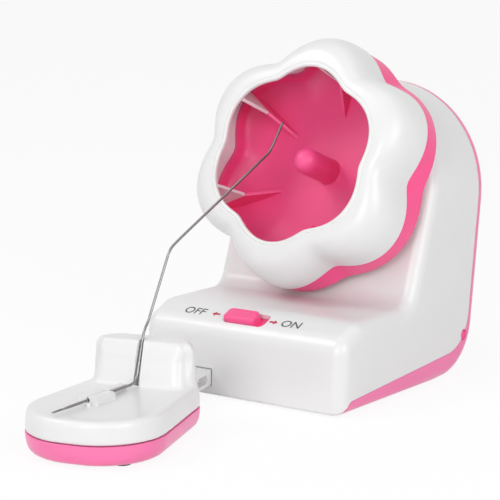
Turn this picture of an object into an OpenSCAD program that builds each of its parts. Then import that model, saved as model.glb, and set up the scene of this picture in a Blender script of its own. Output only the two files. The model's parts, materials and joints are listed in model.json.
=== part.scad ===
// Electric bead spinner for making bracelets: a battery housing turns a tilted flower bowl,
// and a foot in front of it holds a bent beading needle in the bowl.
// Sizes are in millimetres. The origin is on the table, in the middle of the whole object's box.
// +X is to the right and +Y to the back of someone who faces the bowl.

/* [Housing] */
// Width of the housing
body_w = 104; // [100:1:112]
// Depth of the housing at the table
body_d = 108; // [106:1:114]
// Height of the flat ledge
ledge_h = 36.5; // [35:0.5:39]
// Height of the front face, where the switch panel starts
front_h = 30.5; // [29.5:0.5:31.5]
// Distance from the front to the crease above the switch panel
crease_y = 15.5; // [15:0.5:18]
// Distance from the upright's face at ledge level to the back at the table
upright_d = 54; // [53:0.5:56]
// Lean of the upright's face and of the bowl's axis, in degrees
face_lean = 20; // [18:0.5:22]
// Lean of the back wall, in degrees
back_lean = 8; // [7:0.5:9]
// Height of the housing
housing_h = 128; // [126:0.5:132]
// Radius of the housing's outer edges
edge_r = 6; // [5:0.5:7]
// Radius of the hollow between ledge and upright
hollow_r = 9; // [6:0.5:12]
// Radius of the corner between back and underside
heel_r = 26; // [24:0.5:28]
// Wall of the housing's two shells
wall = 2.2; // [2:0.1:2.4]
// Height of the cover's rim beside the front corner
seam_front_h = 5.4; // [4.6:0.2:6]
// Height of the cover's rim at the heel
seam_heel_h = 10.5; // [9.5:0.5:11.5]
// Thickness of the cover's rim along the back
seam_back_t = 7; // [6.4:0.2:7.6]

/* [Bowl] */
// Height at which the bowl's axis meets the upright's face
axis_h = 88.5; // [87:0.5:90]
// Distance from the upright's face to the rim's mouth
mouth_out = 37.4; // [36.5:0.2:39]
// How far a petal's middle reaches past half the housing's width
petal_over = 4; // [3:0.2:4.6]
// Depth of the notches between the petals, at the rim's outside
rim_notch = 8.2; // [7.4:0.2:9]
// Depth of the notches between the petals, at the mouth
mouth_notch = 3.6; // [3:0.2:4.2]
// Width of the rim in the middle of a petal
rim_w = 16.8; // [16.2:0.2:17.6]
// Depth of the rim's dome
rim_depth = 22; // [21:0.2:23]
// Depth of the bowl's floor below the mouth
bowl_depth = 33; // [32:0.2:33.6]
// Depth of the skirt's lower edge below the mouth
skirt_depth = 32; // [31:0.2:32.6]
// How far the flat floor ends inside the mouth, in the middle of a petal
cup_in = 13.2; // [12.2:0.2:14.2]
// Wall of the bowl and of the rim
bowl_wall = 2; // [1.8:0.1:2.2]
// Number of petals
petals = 6; // [5:1:7]
// Turn of the first petal from the right-hand side at rest, in degrees
petal_turn = 24.5; // [20:0.5:28]
// Diameter of the post in the middle of the bowl
post_d = 11.5; // [10.5:0.5:12.5]
// Height of the post above the bowl's floor
post_h = 24.5; // [24:0.5:25.5]
// Thickness of the fins
fin_t = 1.6; // [1.4:0.1:2]

/* [Drive] */
// Diameter of the bowl's shaft
shaft_d = 4; // [3.8:0.1:4.2]
// Module of the gears
gear_m = 0.6; // [0.59:0.01:0.61]
// Teeth of the pinions
pinion_n = 10; // [10:1:10]
// Teeth of the wheels
wheel_n = 40; // [40:1:40]
// Thickness of a wheel
gear_t = 4; // [3.6:0.1:4]
// Diameter of the idler pins
pin_d = 2; // [1.8:0.1:2.2]
// Thickness of the gear plate
plate_t = 2.4; // [2:0.1:2.6]
// Width of the motor can over its round sides
motor_w = 20; // [19:0.5:21]
// Height of the motor can over its flats
motor_h = 15; // [14:0.5:16]
// Length of the motor can
motor_l = 25; // [24:0.5:25.5]
// Diameter of the motor's shaft
motor_shaft_d = 2; // [1.9:0.1:2.1]

/* [Power] */
// Diameter of a battery cell
cell_d = 14.5; // [13.5:0.1:14.6]
// Length of a battery cell with its nub
cell_l = 50.5; // [49:0.5:51]
// Number of cells
cell_count = 3; // [2:1:3]
// Travel of the switch
switch_travel = 5; // [4:0.5:6]
// Length of the switch knob
knob_l = 16; // [14:0.5:17]
// Width of the switch knob
knob_w = 8; // [7:0.25:8.5]
// Height of the switch knob above the panel
knob_out = 2.3; // [1.6:0.1:3]
// Place of the switch to the right of the middle
switch_x = -1.5; // [-3:0.5:3]

/* [Needle foot] */
// Width of the foot's front
foot_w = 56; // [54:1:60]
// Width of the foot's rear
foot_back_w = 47; // [45:1:49]
// Length of the foot
foot_l = 78; // [76:1:82]
// Gap between the foot and the housing, along the link arm
foot_gap = 43; // [40:1:46]
// Turn of the foot and its arm to the housing, in degrees
foot_turn = 13.5; // [12:0.5:15]
// Place of the arm's slot to the right of the housing's middle
slot_x = -20; // [-22:0.5:-18]
// Height of the foot's seam
foot_seam_h = 8.5; // [8:0.25:9]
// Height of the foot's low front half
foot_low_h = 17.6; // [17:0.2:18.4]
// Height of the foot's rear block
foot_block_h = 35; // [33:0.5:37]
// Length of the foot's rear block at its foot
block_l = 21; // [20:0.5:23]
// Width of the link arm
arm_w = 11; // [10:0.5:12]
// Height of the link arm
arm_h = 6.6; // [6:0.2:7]
// Height of the link arm's underside above the table
arm_z = 4.4; // [4:0.2:4.8]
// Length of the link arm inside the housing
arm_in = 28; // [26:0.5:29]
// Diameter of the needle
needle_d = 1.1; // [0.9:0.05:1.2]

/* [Fits] */
// Gap along the housing's seam
seam_gap = 0.15; // [0.1:0.05:0.25]
// Clearance of a running round fit, on the radius
run_fit = 0.05; // [0.03:0.01:0.08]
// Clearance of a sliding or loose flat fit
slide_fit = 0.2; // [0.15:0.05:0.3]
// Diameter of a screw's thread
screw_d = 2.6; // [2.4:0.1:2.8]
// Diameter of a screw's head
head_d = 5; // [4.6:0.1:5.2]
// Height of a screw's head
head_h = 1.6; // [1.4:0.1:1.8]

/* [Hidden] */

$fn = 48;
// Colours
white = [0.92, 0.92, 0.92];
pink = [0.98, 0.45, 0.68];
deep_pink = [0.95, 0.30, 0.56];
steel = [0.72, 0.73, 0.75];
brass = [0.80, 0.68, 0.38];
dark = [0.20, 0.20, 0.22];
nylon = [0.94, 0.92, 0.86];
board_green = [0.20, 0.45, 0.28];
// How far a cut runs past what it cuts
over = 1;
// Thickness of the flat ends that rounded forms are drawn between
slice = 0.02;
// How far a boss or rib runs into the wall that carries it
root = 0.5;
// Facets of a rounded edge
edge_fn = 24;
// Facets round the arch of the upright
arch_fn = 60;

// Housing outline
lean_t = tan(face_lean);
back_t = tan(back_lean);
face_arch_h = housing_h - body_w / 2 * cos(face_lean);
back_arch_h = housing_h - body_w / 2 * cos(back_lean);
front_draft = 1.5;
face_y = body_d - upright_d;
// Reach of the foot in front of the housing's front, and of the back behind it
foot_front_r = 25;
foot_mid = -foot_gap - foot_l / 2;
foot_reach = (foot_w / 2 - foot_front_r) * sin(foot_turn)
    - (foot_mid + foot_front_r - foot_l / 2) * cos(foot_turn) + foot_front_r;
back_reach = body_d + back_arch_h * back_t + edge_r - edge_r * cos(back_lean)
    + (body_w / 2 - edge_r) * sin(back_lean);
front_y = (foot_reach - back_reach) / 2;
function face_at(z) = front_y + face_y + (z - ledge_h) * lean_t;
function back_at(z) = front_y + body_d + z * back_t;
function arc(c, r, a0, a1, n) =
    [for (i = [0 : n]) let (a = a0 + (a1 - a0) * i / n) [c[0] + r * cos(a), c[1] + r * sin(a)]];

// Switch panel
panel_slope = atan2(ledge_h - front_h, crease_y - front_draft);
panel_y = front_y + (crease_y + front_draft) / 2;
panel_z = (ledge_h + front_h) / 2;

// Drive, measured along the bowl's axis from the upright's face, minus is inside
layer_gap = 0.4;
layer_1 = -wall - 2.2 - gear_t;
layer_2 = layer_1 - layer_gap - gear_t;
layer_3 = layer_2 - layer_gap - gear_t;
plate_z = layer_3 - 1;
plate_back = plate_z - plate_t;
mesh_d = gear_m * (pinion_n + wheel_n) / 2;
gear_b_at = mesh_d * [3, -4] / 5;
gear_a_at = gear_b_at + mesh_d * [-4, -3] / 5;
motor_at = gear_a_at + mesh_d * [3, -4] / 5;
flange_t = 1.2;
bush_d = shaft_d + 4;
flange_d = bush_d + 3;
post_pts = [[-21, 9], [21, 9], [-21, -44], [21, -44]];
post_od = screw_d + 4;
clip_t = 0.8;
shaft_tail = plate_back - flange_t - 2 * layer_gap - clip_t - 1.2;
shaft_tip = mouth_out - bowl_depth + post_h - 6;

// Cover screws
boss_d = screw_d + 4.4;
screw_l = 9;
front_boss = [body_w / 2 - 12, front_y + 25];
rear_boss = [body_w / 2 - wall - boss_d / 2 - 2 * slide_fit, front_y + 66];
seat_h = 1.8;
head_deep = head_h + slide_fit;
flush_head_h = 1;
boss_rib_w = 2;
face_wall = (wall - root) / cos(face_lean);
back_boss_x = body_w / 2 - 19;
back_boss_z = 92;
catch_d = 5.2;
catch_deep = 1.2;
catch_at = [front_y + body_d - 7.4, 17];

// Battery tray
cell_pitch = cell_d + 0.8;
spring_l = 6;
contact_t = 0.5;
tray_wall = 1.6;
tray_y = front_y + 58;
tray_in = [cell_l + spring_l + 2 * contact_t, cell_count * cell_pitch + 0.8];
tray_out = tray_in + 2 * tray_wall * [1, 1];
tray_roof = wall + slide_fit + cell_d + 0.6;
door_lip = 1;
door_size = tray_in + 2 * door_lip * [1, 1];
tab_r = 4;
tab_t = 2;
tab_boss_h = 3;
tab_y = tray_out[1] / 2 + tab_r - root;
ear_r = 3.4;
ear_h = 7;
tongue_w = 9;
tongue_l = 8;
door_screw_at = [18, tray_y - tray_out[1] / 2 - ear_r + root];
door_screw_l = 6;
cell_z = wall + slide_fit + cell_d / 2;

// Switch, measured square to the panel, minus is inside
slider_t = 1.4;
slider_top = -wall - slide_fit;
slider_l = knob_l + switch_travel + 8;
slider_lip = 0.9;
slider_w = knob_w + 2 * slider_lip;
lever_w = 2.4;
lever_l = 2.4;
lever_in = 2;
board_screw_in = 5;
switch_h = 6;
switch_top = slider_top - slider_t - slide_fit;
board_top = switch_top - switch_h;
board_t = 1.6;
board_l = slider_l + switch_travel + 2 * screw_d + 10;
board_w = 12;
switch_post_x = slider_l / 2 + switch_travel / 2 + screw_d / 2 + 3;

// Motor details
motor_boss_d = 6.2;
motor_boss_h = 1.4;
motor_screw_d = 2;
motor_screw_x = 6.5;
motor_cap_l = 4;

// Bowl, as radii and as heights along its axis from the upright's face
rim_petal_r = body_w / 2 + petal_over;
rim_notch_r = rim_petal_r - rim_notch;
mouth_petal_r = rim_petal_r - rim_w;
mouth_notch_r = mouth_petal_r - mouth_notch;
floor_r = mouth_petal_r - cup_in;
bowl_floor = mouth_out - bowl_depth;
bowl_base = bowl_floor - bowl_wall;
rim_z = mouth_out - rim_depth;
band_h = 4;
band_in = 0.5;
skirt_z = mouth_out - skirt_depth;
skirt_notch_r = rim_notch_r + 2.8;
skirt_petal_r = rim_petal_r - 1;
dome_full = 0.75;
fin_foot_r = floor_r - 2;
fin_top = 1.5;
fin_top_r = mouth_petal_r - 1.2;
hub_d = post_d + 2;
hub_out = 1.2;
notch_soft = 0.22;
flower_n = 60;
loft_n = 6;
post_fn = 24;

// Needle foot
foot_back_r = 13;
foot_wall = 2;
arm_root = 14;
groove_w = needle_d + 1;
block_lean = 17;
foot_boss_pts = [[-18, -14], [18, -14], [-13, 20], [13, 20]];
foot_boss_d = screw_d + 3.4;
wire_z = foot_low_h + 1.2;
clip_w = 9;
clip_l = 12;
clip_back = 25;
clip_floor = 0.4;
clip_h = 2.6;
rib_clip_w = 3;
rib_clip_h = 2;
block_r = 9;
rib_w = 8;
foot_floor = 2;
foot_screw_in = 8;
foot_pad_d = 7;
groove_deep = 5;
arm_recess = 4;
arm_flange = 1.4;

// Rubber pads
pad_d = 10;
pad_deep = 1;
pad_out = 0.8;
pad_gap = 3.25;
pad_x = door_size[0] / 2 + pad_d / 2 + pad_gap;
body_pads = [for (side = [-1, 1], y = [front_y + 14, front_y + 80]) [side * pad_x, y]];
foot_pads_at = [[-11, 28], [11, 28], [-15, -24], [15, -24]];

// Needle on the foot, along the foot's own length from the arm's slot
groove_y = -foot_gap - block_l;
needle_on_foot = 53;
eye_l = 7;
eye_end = 1.2;
wire_n = 10;
// Turn of the needle's lower run to the foot's length, in degrees
wire_turn = 9;
// A point of the foot's middle plane, measured from the slot, as a point of the whole
function foot_point(y, z) = [slot_x - y * sin(foot_turn), front_y + y * cos(foot_turn), z];
// A point of the needle's lower run, measured from the groove to the front
function wire_point(d) =
    foot_point(groove_y, wire_z) + d * [sin(foot_turn - wire_turn), -cos(foot_turn - wire_turn), 0];
// Where the bowl's axis meets the upright's face
bowl_mid = [0, face_at(axis_h), axis_h];
// Needle route: over the foot, up the groove in its block, then in two bends into the bowl
needle_route = [wire_point(needle_on_foot), wire_point(needle_on_foot - eye_l),
    wire_point(needle_on_foot - eye_l - 2), wire_point(-1), foot_point(groove_y + 9, wire_z + 19.5),
    foot_point(groove_y + 13, wire_z + 22.5), [-9, front_y - 34.2, 68.4], [-9.2, front_y - 28, 71.4],
    bowl_mid + [-12, -32.6, 12.2], bowl_mid + [-13, -21.4, 24.3]];

// Stands a child drawn from the housing's underside on the pads
module on_pads() {
    translate([0, 0, pad_out])
        children();
}

// Puts a child drawn on the upright's face in place, with +Z pointing out of the face
module on_face(z) {
    translate([0, face_at(z), z])
        rotate([90 - face_lean, 0, 0])
            children();
}

// Puts a child drawn in the bowl's own frame in place
module on_axis() {
    on_face(axis_h)
        children();
}

// Puts a child drawn on the switch panel in place
module on_panel() {
    translate([switch_x, panel_y, panel_z])
        rotate([panel_slope, 0, 0])
            children();
}

// Puts a child drawn on the back wall in place, with +Z pointing out of the wall
module on_back(x, z) {
    translate([x, back_at(z), z])
        rotate([-90 - back_lean, 0, 0])
            children();
}

// Puts a child drawn on the foot's plan in place
module on_foot() {
    on_arm()
        translate([0, foot_mid, 0])
            children();
}

// Puts a child drawn along the link arm in place, measured from the arm's slot
module on_arm() {
    translate([slot_x, front_y, 0])
        rotate(foot_turn)
            children();
}

// Extrudes a side view, drawn as [y, z], across the housing
module across(w) {
    rotate([90, 0, 90])
        linear_extrude(w, center = true)
            children();
}

// A screw with its head's flat underside at z = 0 and its thread down
module screw(length) {
    cylinder(h = head_h, d = head_d);
    translate([0, 0, -length])
        cylinder(h = length + head_h / 2, d = screw_d);
}

// A corner of an outline drawn in from both of its edges, where the outline runs anticlockwise
function drawn_in(before, at, after, r) =
    let (d1 = (at - before) / norm(at - before), d2 = (after - at) / norm(after - at),
        n1 = [-d1[1], d1[0]], n2 = [-d2[1], d2[0]])
    at + r * (n1 + n2) / (1 + n1 * n2);

// A pair of balls, or of flat discs on the underside, at the housing's left and right edges
module edge_balls(at, r) {
    for (side = [-1, 1])
        translate([side * (body_w / 2 - edge_r), at[0], at[1]])
            sphere(r, $fn = edge_fn);
}

module edge_discs(y, z, r) {
    for (side = [-1, 1])
        translate([side * (body_w / 2 - edge_r), y, z])
            cylinder(h = slice, r = r, $fn = edge_fn);
}

// The ring inside the round top's edge, drawn on a wall's outer face
module arch_ring(r) {
    translate([0, 0, -edge_r])
        rotate_extrude($fn = arch_fn)
            translate([body_w / 2 - edge_r, 0])
                circle(r, $fn = edge_fn);
}

// The housing's form drawn in by an even distance, with a flat underside and a round heel
module housing(inset) {
    r = edge_r - inset;
    ledge_z = ledge_h - edge_r;
    front_bottom = [front_y, 0];
    front_top = [front_y + front_draft, front_h];
    crease = [front_y + crease_y, ledge_h];
    ledge_end = [face_at(ledge_h), ledge_h];
    hollow_c = [face_at(ledge_h + hollow_r) - hollow_r / cos(face_lean), ledge_h + hollow_r];
    hollow_top = hollow_c + hollow_r * [cos(face_lean), -sin(face_lean)];
    heel_c = [back_at(heel_r) - heel_r / cos(back_lean), heel_r];
    intersection() {
        union() {
            // The base with its switch panel and ledge
            hull() {
                edge_discs(front_y + edge_r, inset, r);
                edge_discs(back_at(0) - edge_r / cos(back_lean), inset, r);
                edge_balls(drawn_in(crease, front_top, front_bottom, edge_r), r);
                edge_balls(drawn_in(ledge_end, crease, front_top, edge_r), r);
                edge_balls([back_at(ledge_z) - edge_r / cos(back_lean), ledge_z], r);
            }
            // The upright with its round top
            hull() {
                edge_discs(back_at(0) - edge_r / cos(back_lean), inset, r);
                edge_balls([face_at(ledge_z) + edge_r / cos(face_lean), ledge_z], r);
                on_face(face_arch_h)
                    arch_ring(r);
                on_back(0, back_arch_h)
                    arch_ring(r);
            }
            // The hollow between them
            across(body_w - 2 * edge_r)
                polygon(concat(
                    arc(hollow_c, hollow_r + inset, -face_lean, -90, 6),
                    [[hollow_c[0], ledge_z - edge_r], [ledge_end[0] + 2 * edge_r, ledge_z - edge_r],
                        hollow_top + [2 * edge_r, 0]]));
        }
        across(2 * body_w)
            polygon(concat(
                [[-2 * body_d, inset]],
                arc(heel_c, heel_r - inset, -90, -back_lean, 8),
                [[back_at(2 * housing_h), 2 * housing_h], [-2 * body_d, 2 * housing_h]]));
    }
}

// The part of the housing's form that belongs to the cover, grown by a gap
module cover_zone(gap) {
    seam_y = front_y + wall + seam_gap;
    heel_in = heel_r - seam_back_t;
    back_in = seam_back_t / cos(back_lean);
    heel_c = [back_at(seam_heel_h + heel_in) - back_in - heel_in, seam_heel_h + heel_in];
    across(2 * body_w)
        offset(delta = gap)
            polygon(concat(
                [[seam_y, -body_d], [seam_y, seam_front_h * 0.4],
                    [seam_y + edge_r, seam_front_h]],
                arc(heel_c, heel_in, -90, -back_lean, 5),
                [[back_at(2 * housing_h) - back_in, 2 * housing_h],
                    [back_at(2 * housing_h) + body_d, 2 * housing_h], [2 * body_d, -body_d]]));
}

// Catch windows on the seam, one on each side
module catch_windows() {
    for (side = [-1, 1])
        translate([side * body_w / 2, catch_at[0], catch_at[1]])
            rotate([0, 90, 0])
                cylinder(h = 2 * catch_deep, d = catch_d, center = true);
}

// Places of the four screws under the housing
module under_screw_places() {
    for (side = [-1, 1])
        for (at = [front_boss, rear_boss])
            translate([side * at[0], at[1], 0])
                children();
}

// Places of the two screws in the back wall
module back_screw_places() {
    for (side = [-1, 1])
        on_back(side * back_boss_x, back_boss_z)
            children();
}

module front_shell() {
    color(white)
    difference() {
        union() {
            difference() {
                housing(0);
                housing(wall);
                cover_zone(seam_gap);
            }
            // Bosses for the screws under the housing
            under_screw_places()
                translate([0, 0, wall + seat_h])
                    cylinder(h = ledge_h - 1.5 * wall - seat_h, d = boss_d);
            for (side = [-1, 1], at = [front_boss, rear_boss])
                translate([side * (at[0] + body_w / 2 - wall + root) / 2, at[1],
                    (seam_heel_h + over + ledge_h - wall) / 2])
                    cube([body_w / 2 - wall + root - at[0], boss_rib_w,
                        ledge_h - wall - seam_heel_h - over], center = true);
            // Bosses for the screws in the back wall
            intersection() {
                across(body_w)
                    polygon([[face_at(0) + face_wall, 0], [back_at(housing_h), 0],
                        [back_at(housing_h), housing_h], [face_at(housing_h) + face_wall, housing_h]]);
                back_screw_places()
                    translate([0, 0, -body_d - wall - seat_h])
                        cylinder(h = body_d, d = boss_d);
            }
            // Posts for the gear plate and seats for the idler pins
            on_axis() {
                for (at = post_pts)
                    translate([at[0], at[1], plate_z])
                        cylinder(h = -plate_z - wall + root, d = post_od);
                for (at = [gear_a_at, gear_b_at])
                    translate([at[0], at[1], -wall - 1.6])
                        cylinder(h = 1.6 + root, d = pin_d + 3);
            }
            // Posts for the switch board
            on_panel()
                for (side = [-1, 1])
                    translate([side * switch_post_x, 0, board_top])
                        cylinder(h = -board_top - wall + root, d = screw_d + 2.4);
            // Sleeve for the link arm
            intersection() {
                on_arm()
                    translate([-arm_w / 2 - tray_wall, -arm_in, arm_z - tray_wall])
                        cube([arm_w + 2 * tray_wall, 2 * arm_in, arm_h + 2 * tray_wall]);
                translate([-body_w / 2, front_y + wall - root, 0])
                    cube([body_w, body_d, ledge_h]);
            }
        }
        under_screw_places()
            cylinder(h = head_deep + screw_l, d = screw_d);
        back_screw_places()
            translate([0, 0, -head_deep - screw_l])
                cylinder(h = head_deep + screw_l, d = screw_d);
        on_axis() {
            translate([0, 0, -wall - over])
                cylinder(h = wall + 2 * over, d = bush_d);
            for (at = post_pts)
                translate([at[0], at[1], plate_z - over])
                    cylinder(h = screw_l + over, d = screw_d);
            for (at = [gear_a_at, gear_b_at])
                translate([at[0], at[1], -wall - 1.6 - over])
                    cylinder(h = 2.4 + over, d = pin_d);
        }
        on_panel() {
            translate([0, 0, -wall])
                cube([knob_l + switch_travel + 2 * slide_fit, knob_w + 2 * slide_fit, 4 * wall],
                    center = true);
            for (side = [-1, 1])
                translate([side * switch_post_x, 0, board_top - over])
                    cylinder(h = 6 + over, d = screw_d);
        }
        on_arm()
            translate([-arm_w / 2 - slide_fit, -arm_in, arm_z - slide_fit])
                cube([arm_w + 2 * slide_fit, 3 * arm_in, arm_h + 2 * slide_fit]);
        catch_windows();
    }
}

module rear_cover() {
    color(pink)
    difference() {
        union() {
            intersection() {
                difference() {
                    housing(0);
                    housing(wall);
                }
                cover_zone(0);
            }
            for (side = [-1, 1])
                translate([0, tray_y + side * tab_y, wall - root])
                    cylinder(h = tab_boss_h + root, r = tab_r - root - slide_fit);
            under_screw_places()
                translate([0, 0, wall - root])
                    cylinder(h = seat_h + root, d = boss_d);
            back_screw_places()
                translate([0, 0, -wall - seat_h])
                    cylinder(h = seat_h + root, d = boss_d);
        }
        under_screw_places() {
            translate([0, 0, -over])
                cylinder(h = wall + seat_h + 2 * over, d = screw_d + 2 * run_fit);
            translate([0, 0, -over])
                cylinder(h = head_deep + over, d = head_d + 2 * slide_fit);
        }
        back_screw_places() {
            translate([0, 0, -wall - seat_h - over])
                cylinder(h = wall + seat_h + 2 * over, d = screw_d + 2 * run_fit);
            translate([0, 0, -head_deep])
                cylinder(h = head_deep + over, d = head_d + 2 * slide_fit);
        }
        for (side = [-1, 1])
            translate([0, tray_y + side * tab_y, wall + tab_boss_h - 4])
                cylinder(h = 4 + over, d = screw_d);
        translate([0, 0, -over])
            linear_extrude(wall + 2 * over)
                offset(delta = slide_fit)
                    door_outline();
        pad_places(body_pads, -over)
            cylinder(h = pad_deep + over, d = pad_d);
        catch_windows();
    }
}

module pad_places(places, z) {
    for (at = places)
        translate([at[0], at[1], z])
            children();
}

module rubber_feet() {
    color(dark)
        pad_places(body_pads, -pad_out)
            cylinder(h = pad_out + pad_deep, d = pad_d);
}

module cover_screws() {
    color(steel) {
        under_screw_places()
            translate([0, 0, head_deep])
                mirror([0, 0, 1])
                    screw(screw_l);
        back_screw_places()
            translate([0, 0, -head_deep])
                screw(screw_l);
    }
}

module battery_tray() {
    color(dark)
    difference() {
        union() {
            translate([-tray_out[0] / 2, tray_y - tray_out[1] / 2, wall])
                cube([tray_out[0], tray_out[1], tray_roof - wall + tray_wall]);
            for (side = [-1, 1])
                translate([0, tray_y + side * tab_y, wall + tab_boss_h])
                    cylinder(h = tab_t, r = tab_r);
            translate([door_screw_at[0], door_screw_at[1], wall])
                cylinder(h = ear_h, r = ear_r);
        }
        translate([door_screw_at[0], door_screw_at[1], wall - over])
            cylinder(h = door_screw_l + over, d = screw_d);
        translate([-tray_in[0] / 2, tray_y - tray_in[1] / 2, wall - over])
            cube([tray_in[0], tray_in[1], tray_roof - wall + over]);
        for (side = [-1, 1])
            translate([0, tray_y + side * tab_y, wall + tab_boss_h - over])
                cylinder(h = tab_t + 2 * over, d = screw_d + 2 * run_fit);
    }
}

module tray_screws() {
    color(steel)
        for (side = [-1, 1])
            translate([0, tray_y + side * tab_y, wall + tab_boss_h + tab_t])
                screw(tab_t + 3);
}

// Places of the cells, turned end for end in turn
module cell_places() {
    for (i = [0 : cell_count - 1])
        translate([0, tray_y + (i - (cell_count - 1) / 2) * cell_pitch, cell_z])
            rotate([0, 0, i % 2 == 0 ? 0 : 180])
                children();
}

module battery_cells() {
    color(steel)
        cell_places()
            translate([-tray_in[0] / 2 + contact_t + spring_l, 0, 0])
                rotate([0, 90, 0]) {
                    cylinder(h = cell_l - 1, d = cell_d);
                    cylinder(h = cell_l, d = 5.5);
                }
}

module contact_springs() {
    coils = 4;
    color(steel)
        cell_places()
            translate([-tray_in[0] / 2 + contact_t, 0, 0])
                rotate([0, 90, 0])
                    difference() {
                        union() {
                            cylinder(h = spring_l, d = 4.4);
                            for (i = [0 : coils - 1])
                                translate([0, 0, i * spring_l / coils])
                                    cylinder(h = 0.8, d = 8.5 - i);
                        }
                        translate([0, 0, -over])
                            cylinder(h = spring_l + 2 * over, d = 3);
                    }
}

module contact_plates() {
    color(steel)
        cell_places()
            for (end = [-1, 1])
                translate([end * (tray_in[0] - contact_t) / 2, 0, 0])
                    cube([contact_t, 10, 10], center = true);
}

// The door's plan: a plate over the cells with a tongue for its screw
module door_outline() {
    translate([-door_size[0] / 2, tray_y - door_size[1] / 2])
        square(door_size);
    translate([door_screw_at[0] - tongue_w / 2, tray_y - door_size[1] / 2 - tongue_l])
        square([tongue_w, tongue_l + root]);
}

module battery_door() {
    color(pink)
    difference() {
        linear_extrude(wall)
            door_outline();
        for (i = [-3 : 3])
            translate([0, tray_y + i * 3 - 8, 0])
                cube([16, 1.2, 0.8], center = true);
        translate([door_screw_at[0], door_screw_at[1], -over]) {
            cylinder(h = wall + 2 * over, d = screw_d + 2 * run_fit);
            cylinder(h = over + flush_head_h, d = head_d + 2 * slide_fit);
        }
    }
}

module door_screw() {
    color(steel)
        translate([door_screw_at[0], door_screw_at[1], 0]) {
            cylinder(h = flush_head_h, d = head_d);
            cylinder(h = wall + door_screw_l - slide_fit, d = screw_d);
        }
}

// A spur gear's outline with plain straight-sided teeth, the first tooth at angle 0
function tooth(n, i) =
    let (r = gear_m * n / 2, tip = r + 0.45 * gear_m, foot = r - 1.2 * gear_m, a = 360 * i / n,
        wide = 0.68 * gear_m, narrow = 0.3 * gear_m)
    [for (p = [[foot, -wide], [tip, -narrow], [tip, narrow], [foot, wide]])
        let (b = a + p[1] / p[0] * 180 / PI) [p[0] * cos(b), p[0] * sin(b)]];

module gear_outline(n) {
    polygon([for (i = [0 : n - 1]) each tooth(n, i)]);
}

// A gear with its lower face at z, turned so that a tooth or a gap points along an angle
module gear(n, z, height, angle, gap = false) {
    translate([0, 0, z])
        rotate(angle + (gap ? 180 / n : 0))
            linear_extrude(height)
                gear_outline(n);
}

// Angle from one gear's centre to another's
function toward(from, to) = atan2(to[1] - from[1], to[0] - from[0]);

module gear_plate() {
    half_w = post_pts[1][0] + post_od / 2 + 1;
    color(nylon)
    on_axis()
    difference() {
        translate([-half_w, post_pts[2][1] - post_od / 2 - 1, plate_back])
            cube([2 * half_w, post_pts[0][1] - post_pts[2][1] + post_od + 2, plate_t]);
        for (at = post_pts)
            translate([at[0], at[1], plate_back - over])
                cylinder(h = plate_t + 2 * over, d = screw_d + 2 * run_fit);
        for (at = [gear_a_at, gear_b_at])
            translate([at[0], at[1], plate_back - over])
                cylinder(h = plate_t + 2 * over, d = pin_d);
        translate([0, 0, plate_back - over])
            cylinder(h = plate_t + 2 * over, d = bush_d);
        translate([motor_at[0], motor_at[1], plate_back - over]) {
            cylinder(h = plate_t + 2 * over, d = motor_boss_d + 2 * slide_fit);
            motor_screw_places()
                cylinder(h = plate_t + 2 * over, d = motor_screw_d + 2 * run_fit);
        }
    }
}

module gear_plate_screws() {
    color(steel)
        on_axis()
            for (at = post_pts)
                translate([at[0], at[1], plate_back])
                    mirror([0, 0, 1])
                        screw(screw_l);
}

// A flanged bush with its flange's flat face at z = 0 and its sleeve up
module bush(length) {
    difference() {
        union() {
            translate([0, 0, -flange_t])
                cylinder(h = flange_t, d = flange_d);
            translate([0, 0, -flange_t])
                cylinder(h = length + flange_t, d = bush_d);
        }
        translate([0, 0, -flange_t - over])
            cylinder(h = length + flange_t + 2 * over, d = shaft_d + 2 * run_fit);
    }
}

module front_bush() {
    color(brass)
        on_axis()
            translate([0, 0, -wall])
                bush(wall + 0.8);
}

module rear_bush() {
    color(brass)
        on_axis()
            translate([0, 0, plate_back])
                bush(plate_t);
}

module motor_screw_places() {
    for (side = [-1, 1])
        translate([side * motor_screw_x, 0, 0])
            children();
}

// The motor's section: a round can with two flats
module motor_section() {
    intersection() {
        circle(d = motor_w);
        square([motor_w, motor_h], center = true);
    }
}

module motor_can() {
    color(steel)
    on_axis()
    translate([motor_at[0], motor_at[1], plate_back])
    difference() {
        union() {
            translate([0, 0, -motor_l])
                linear_extrude(motor_l)
                    motor_section();
            cylinder(h = motor_boss_h, d = motor_boss_d);
        }
        translate([0, 0, -motor_l / 2])
            cylinder(h = motor_l, d = motor_shaft_d + 2 * run_fit);
        motor_screw_places()
            translate([0, 0, -3])
                cylinder(h = 3 + over, d = motor_screw_d);
    }
}

module motor_end_cap() {
    color(dark)
    on_axis()
    translate([motor_at[0], motor_at[1], plate_back - motor_l]) {
        translate([0, 0, -motor_cap_l / 2])
            linear_extrude(motor_cap_l / 2)
                motor_section();
        translate([0, 0, -motor_cap_l])
            cylinder(h = motor_cap_l, d = motor_w * 0.45);
    }
}

module motor_screws() {
    color(steel)
    on_axis()
    translate([motor_at[0], motor_at[1], plate_z])
        motor_screw_places() {
            cylinder(h = 0.7, d = 3.4);
            translate([0, 0, -plate_t - 2.5])
                cylinder(h = plate_t + 2.5 + 0.3, d = motor_screw_d);
        }
}

module motor_shaft() {
    color(steel)
    on_axis()
    translate([motor_at[0], motor_at[1], plate_back - motor_l / 2 + 1])
        cylinder(h = layer_3 + gear_t + 0.3 - plate_back + motor_l / 2 - 1, d = motor_shaft_d);
}

module motor_pinion() {
    color(brass)
    on_axis()
    translate([motor_at[0], motor_at[1], 0])
    difference() {
        gear(pinion_n, layer_3, gear_t, toward(motor_at, gear_a_at));
        translate([0, 0, layer_3 - over])
            cylinder(h = gear_t + 2 * over, d = motor_shaft_d);
    }
}

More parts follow.
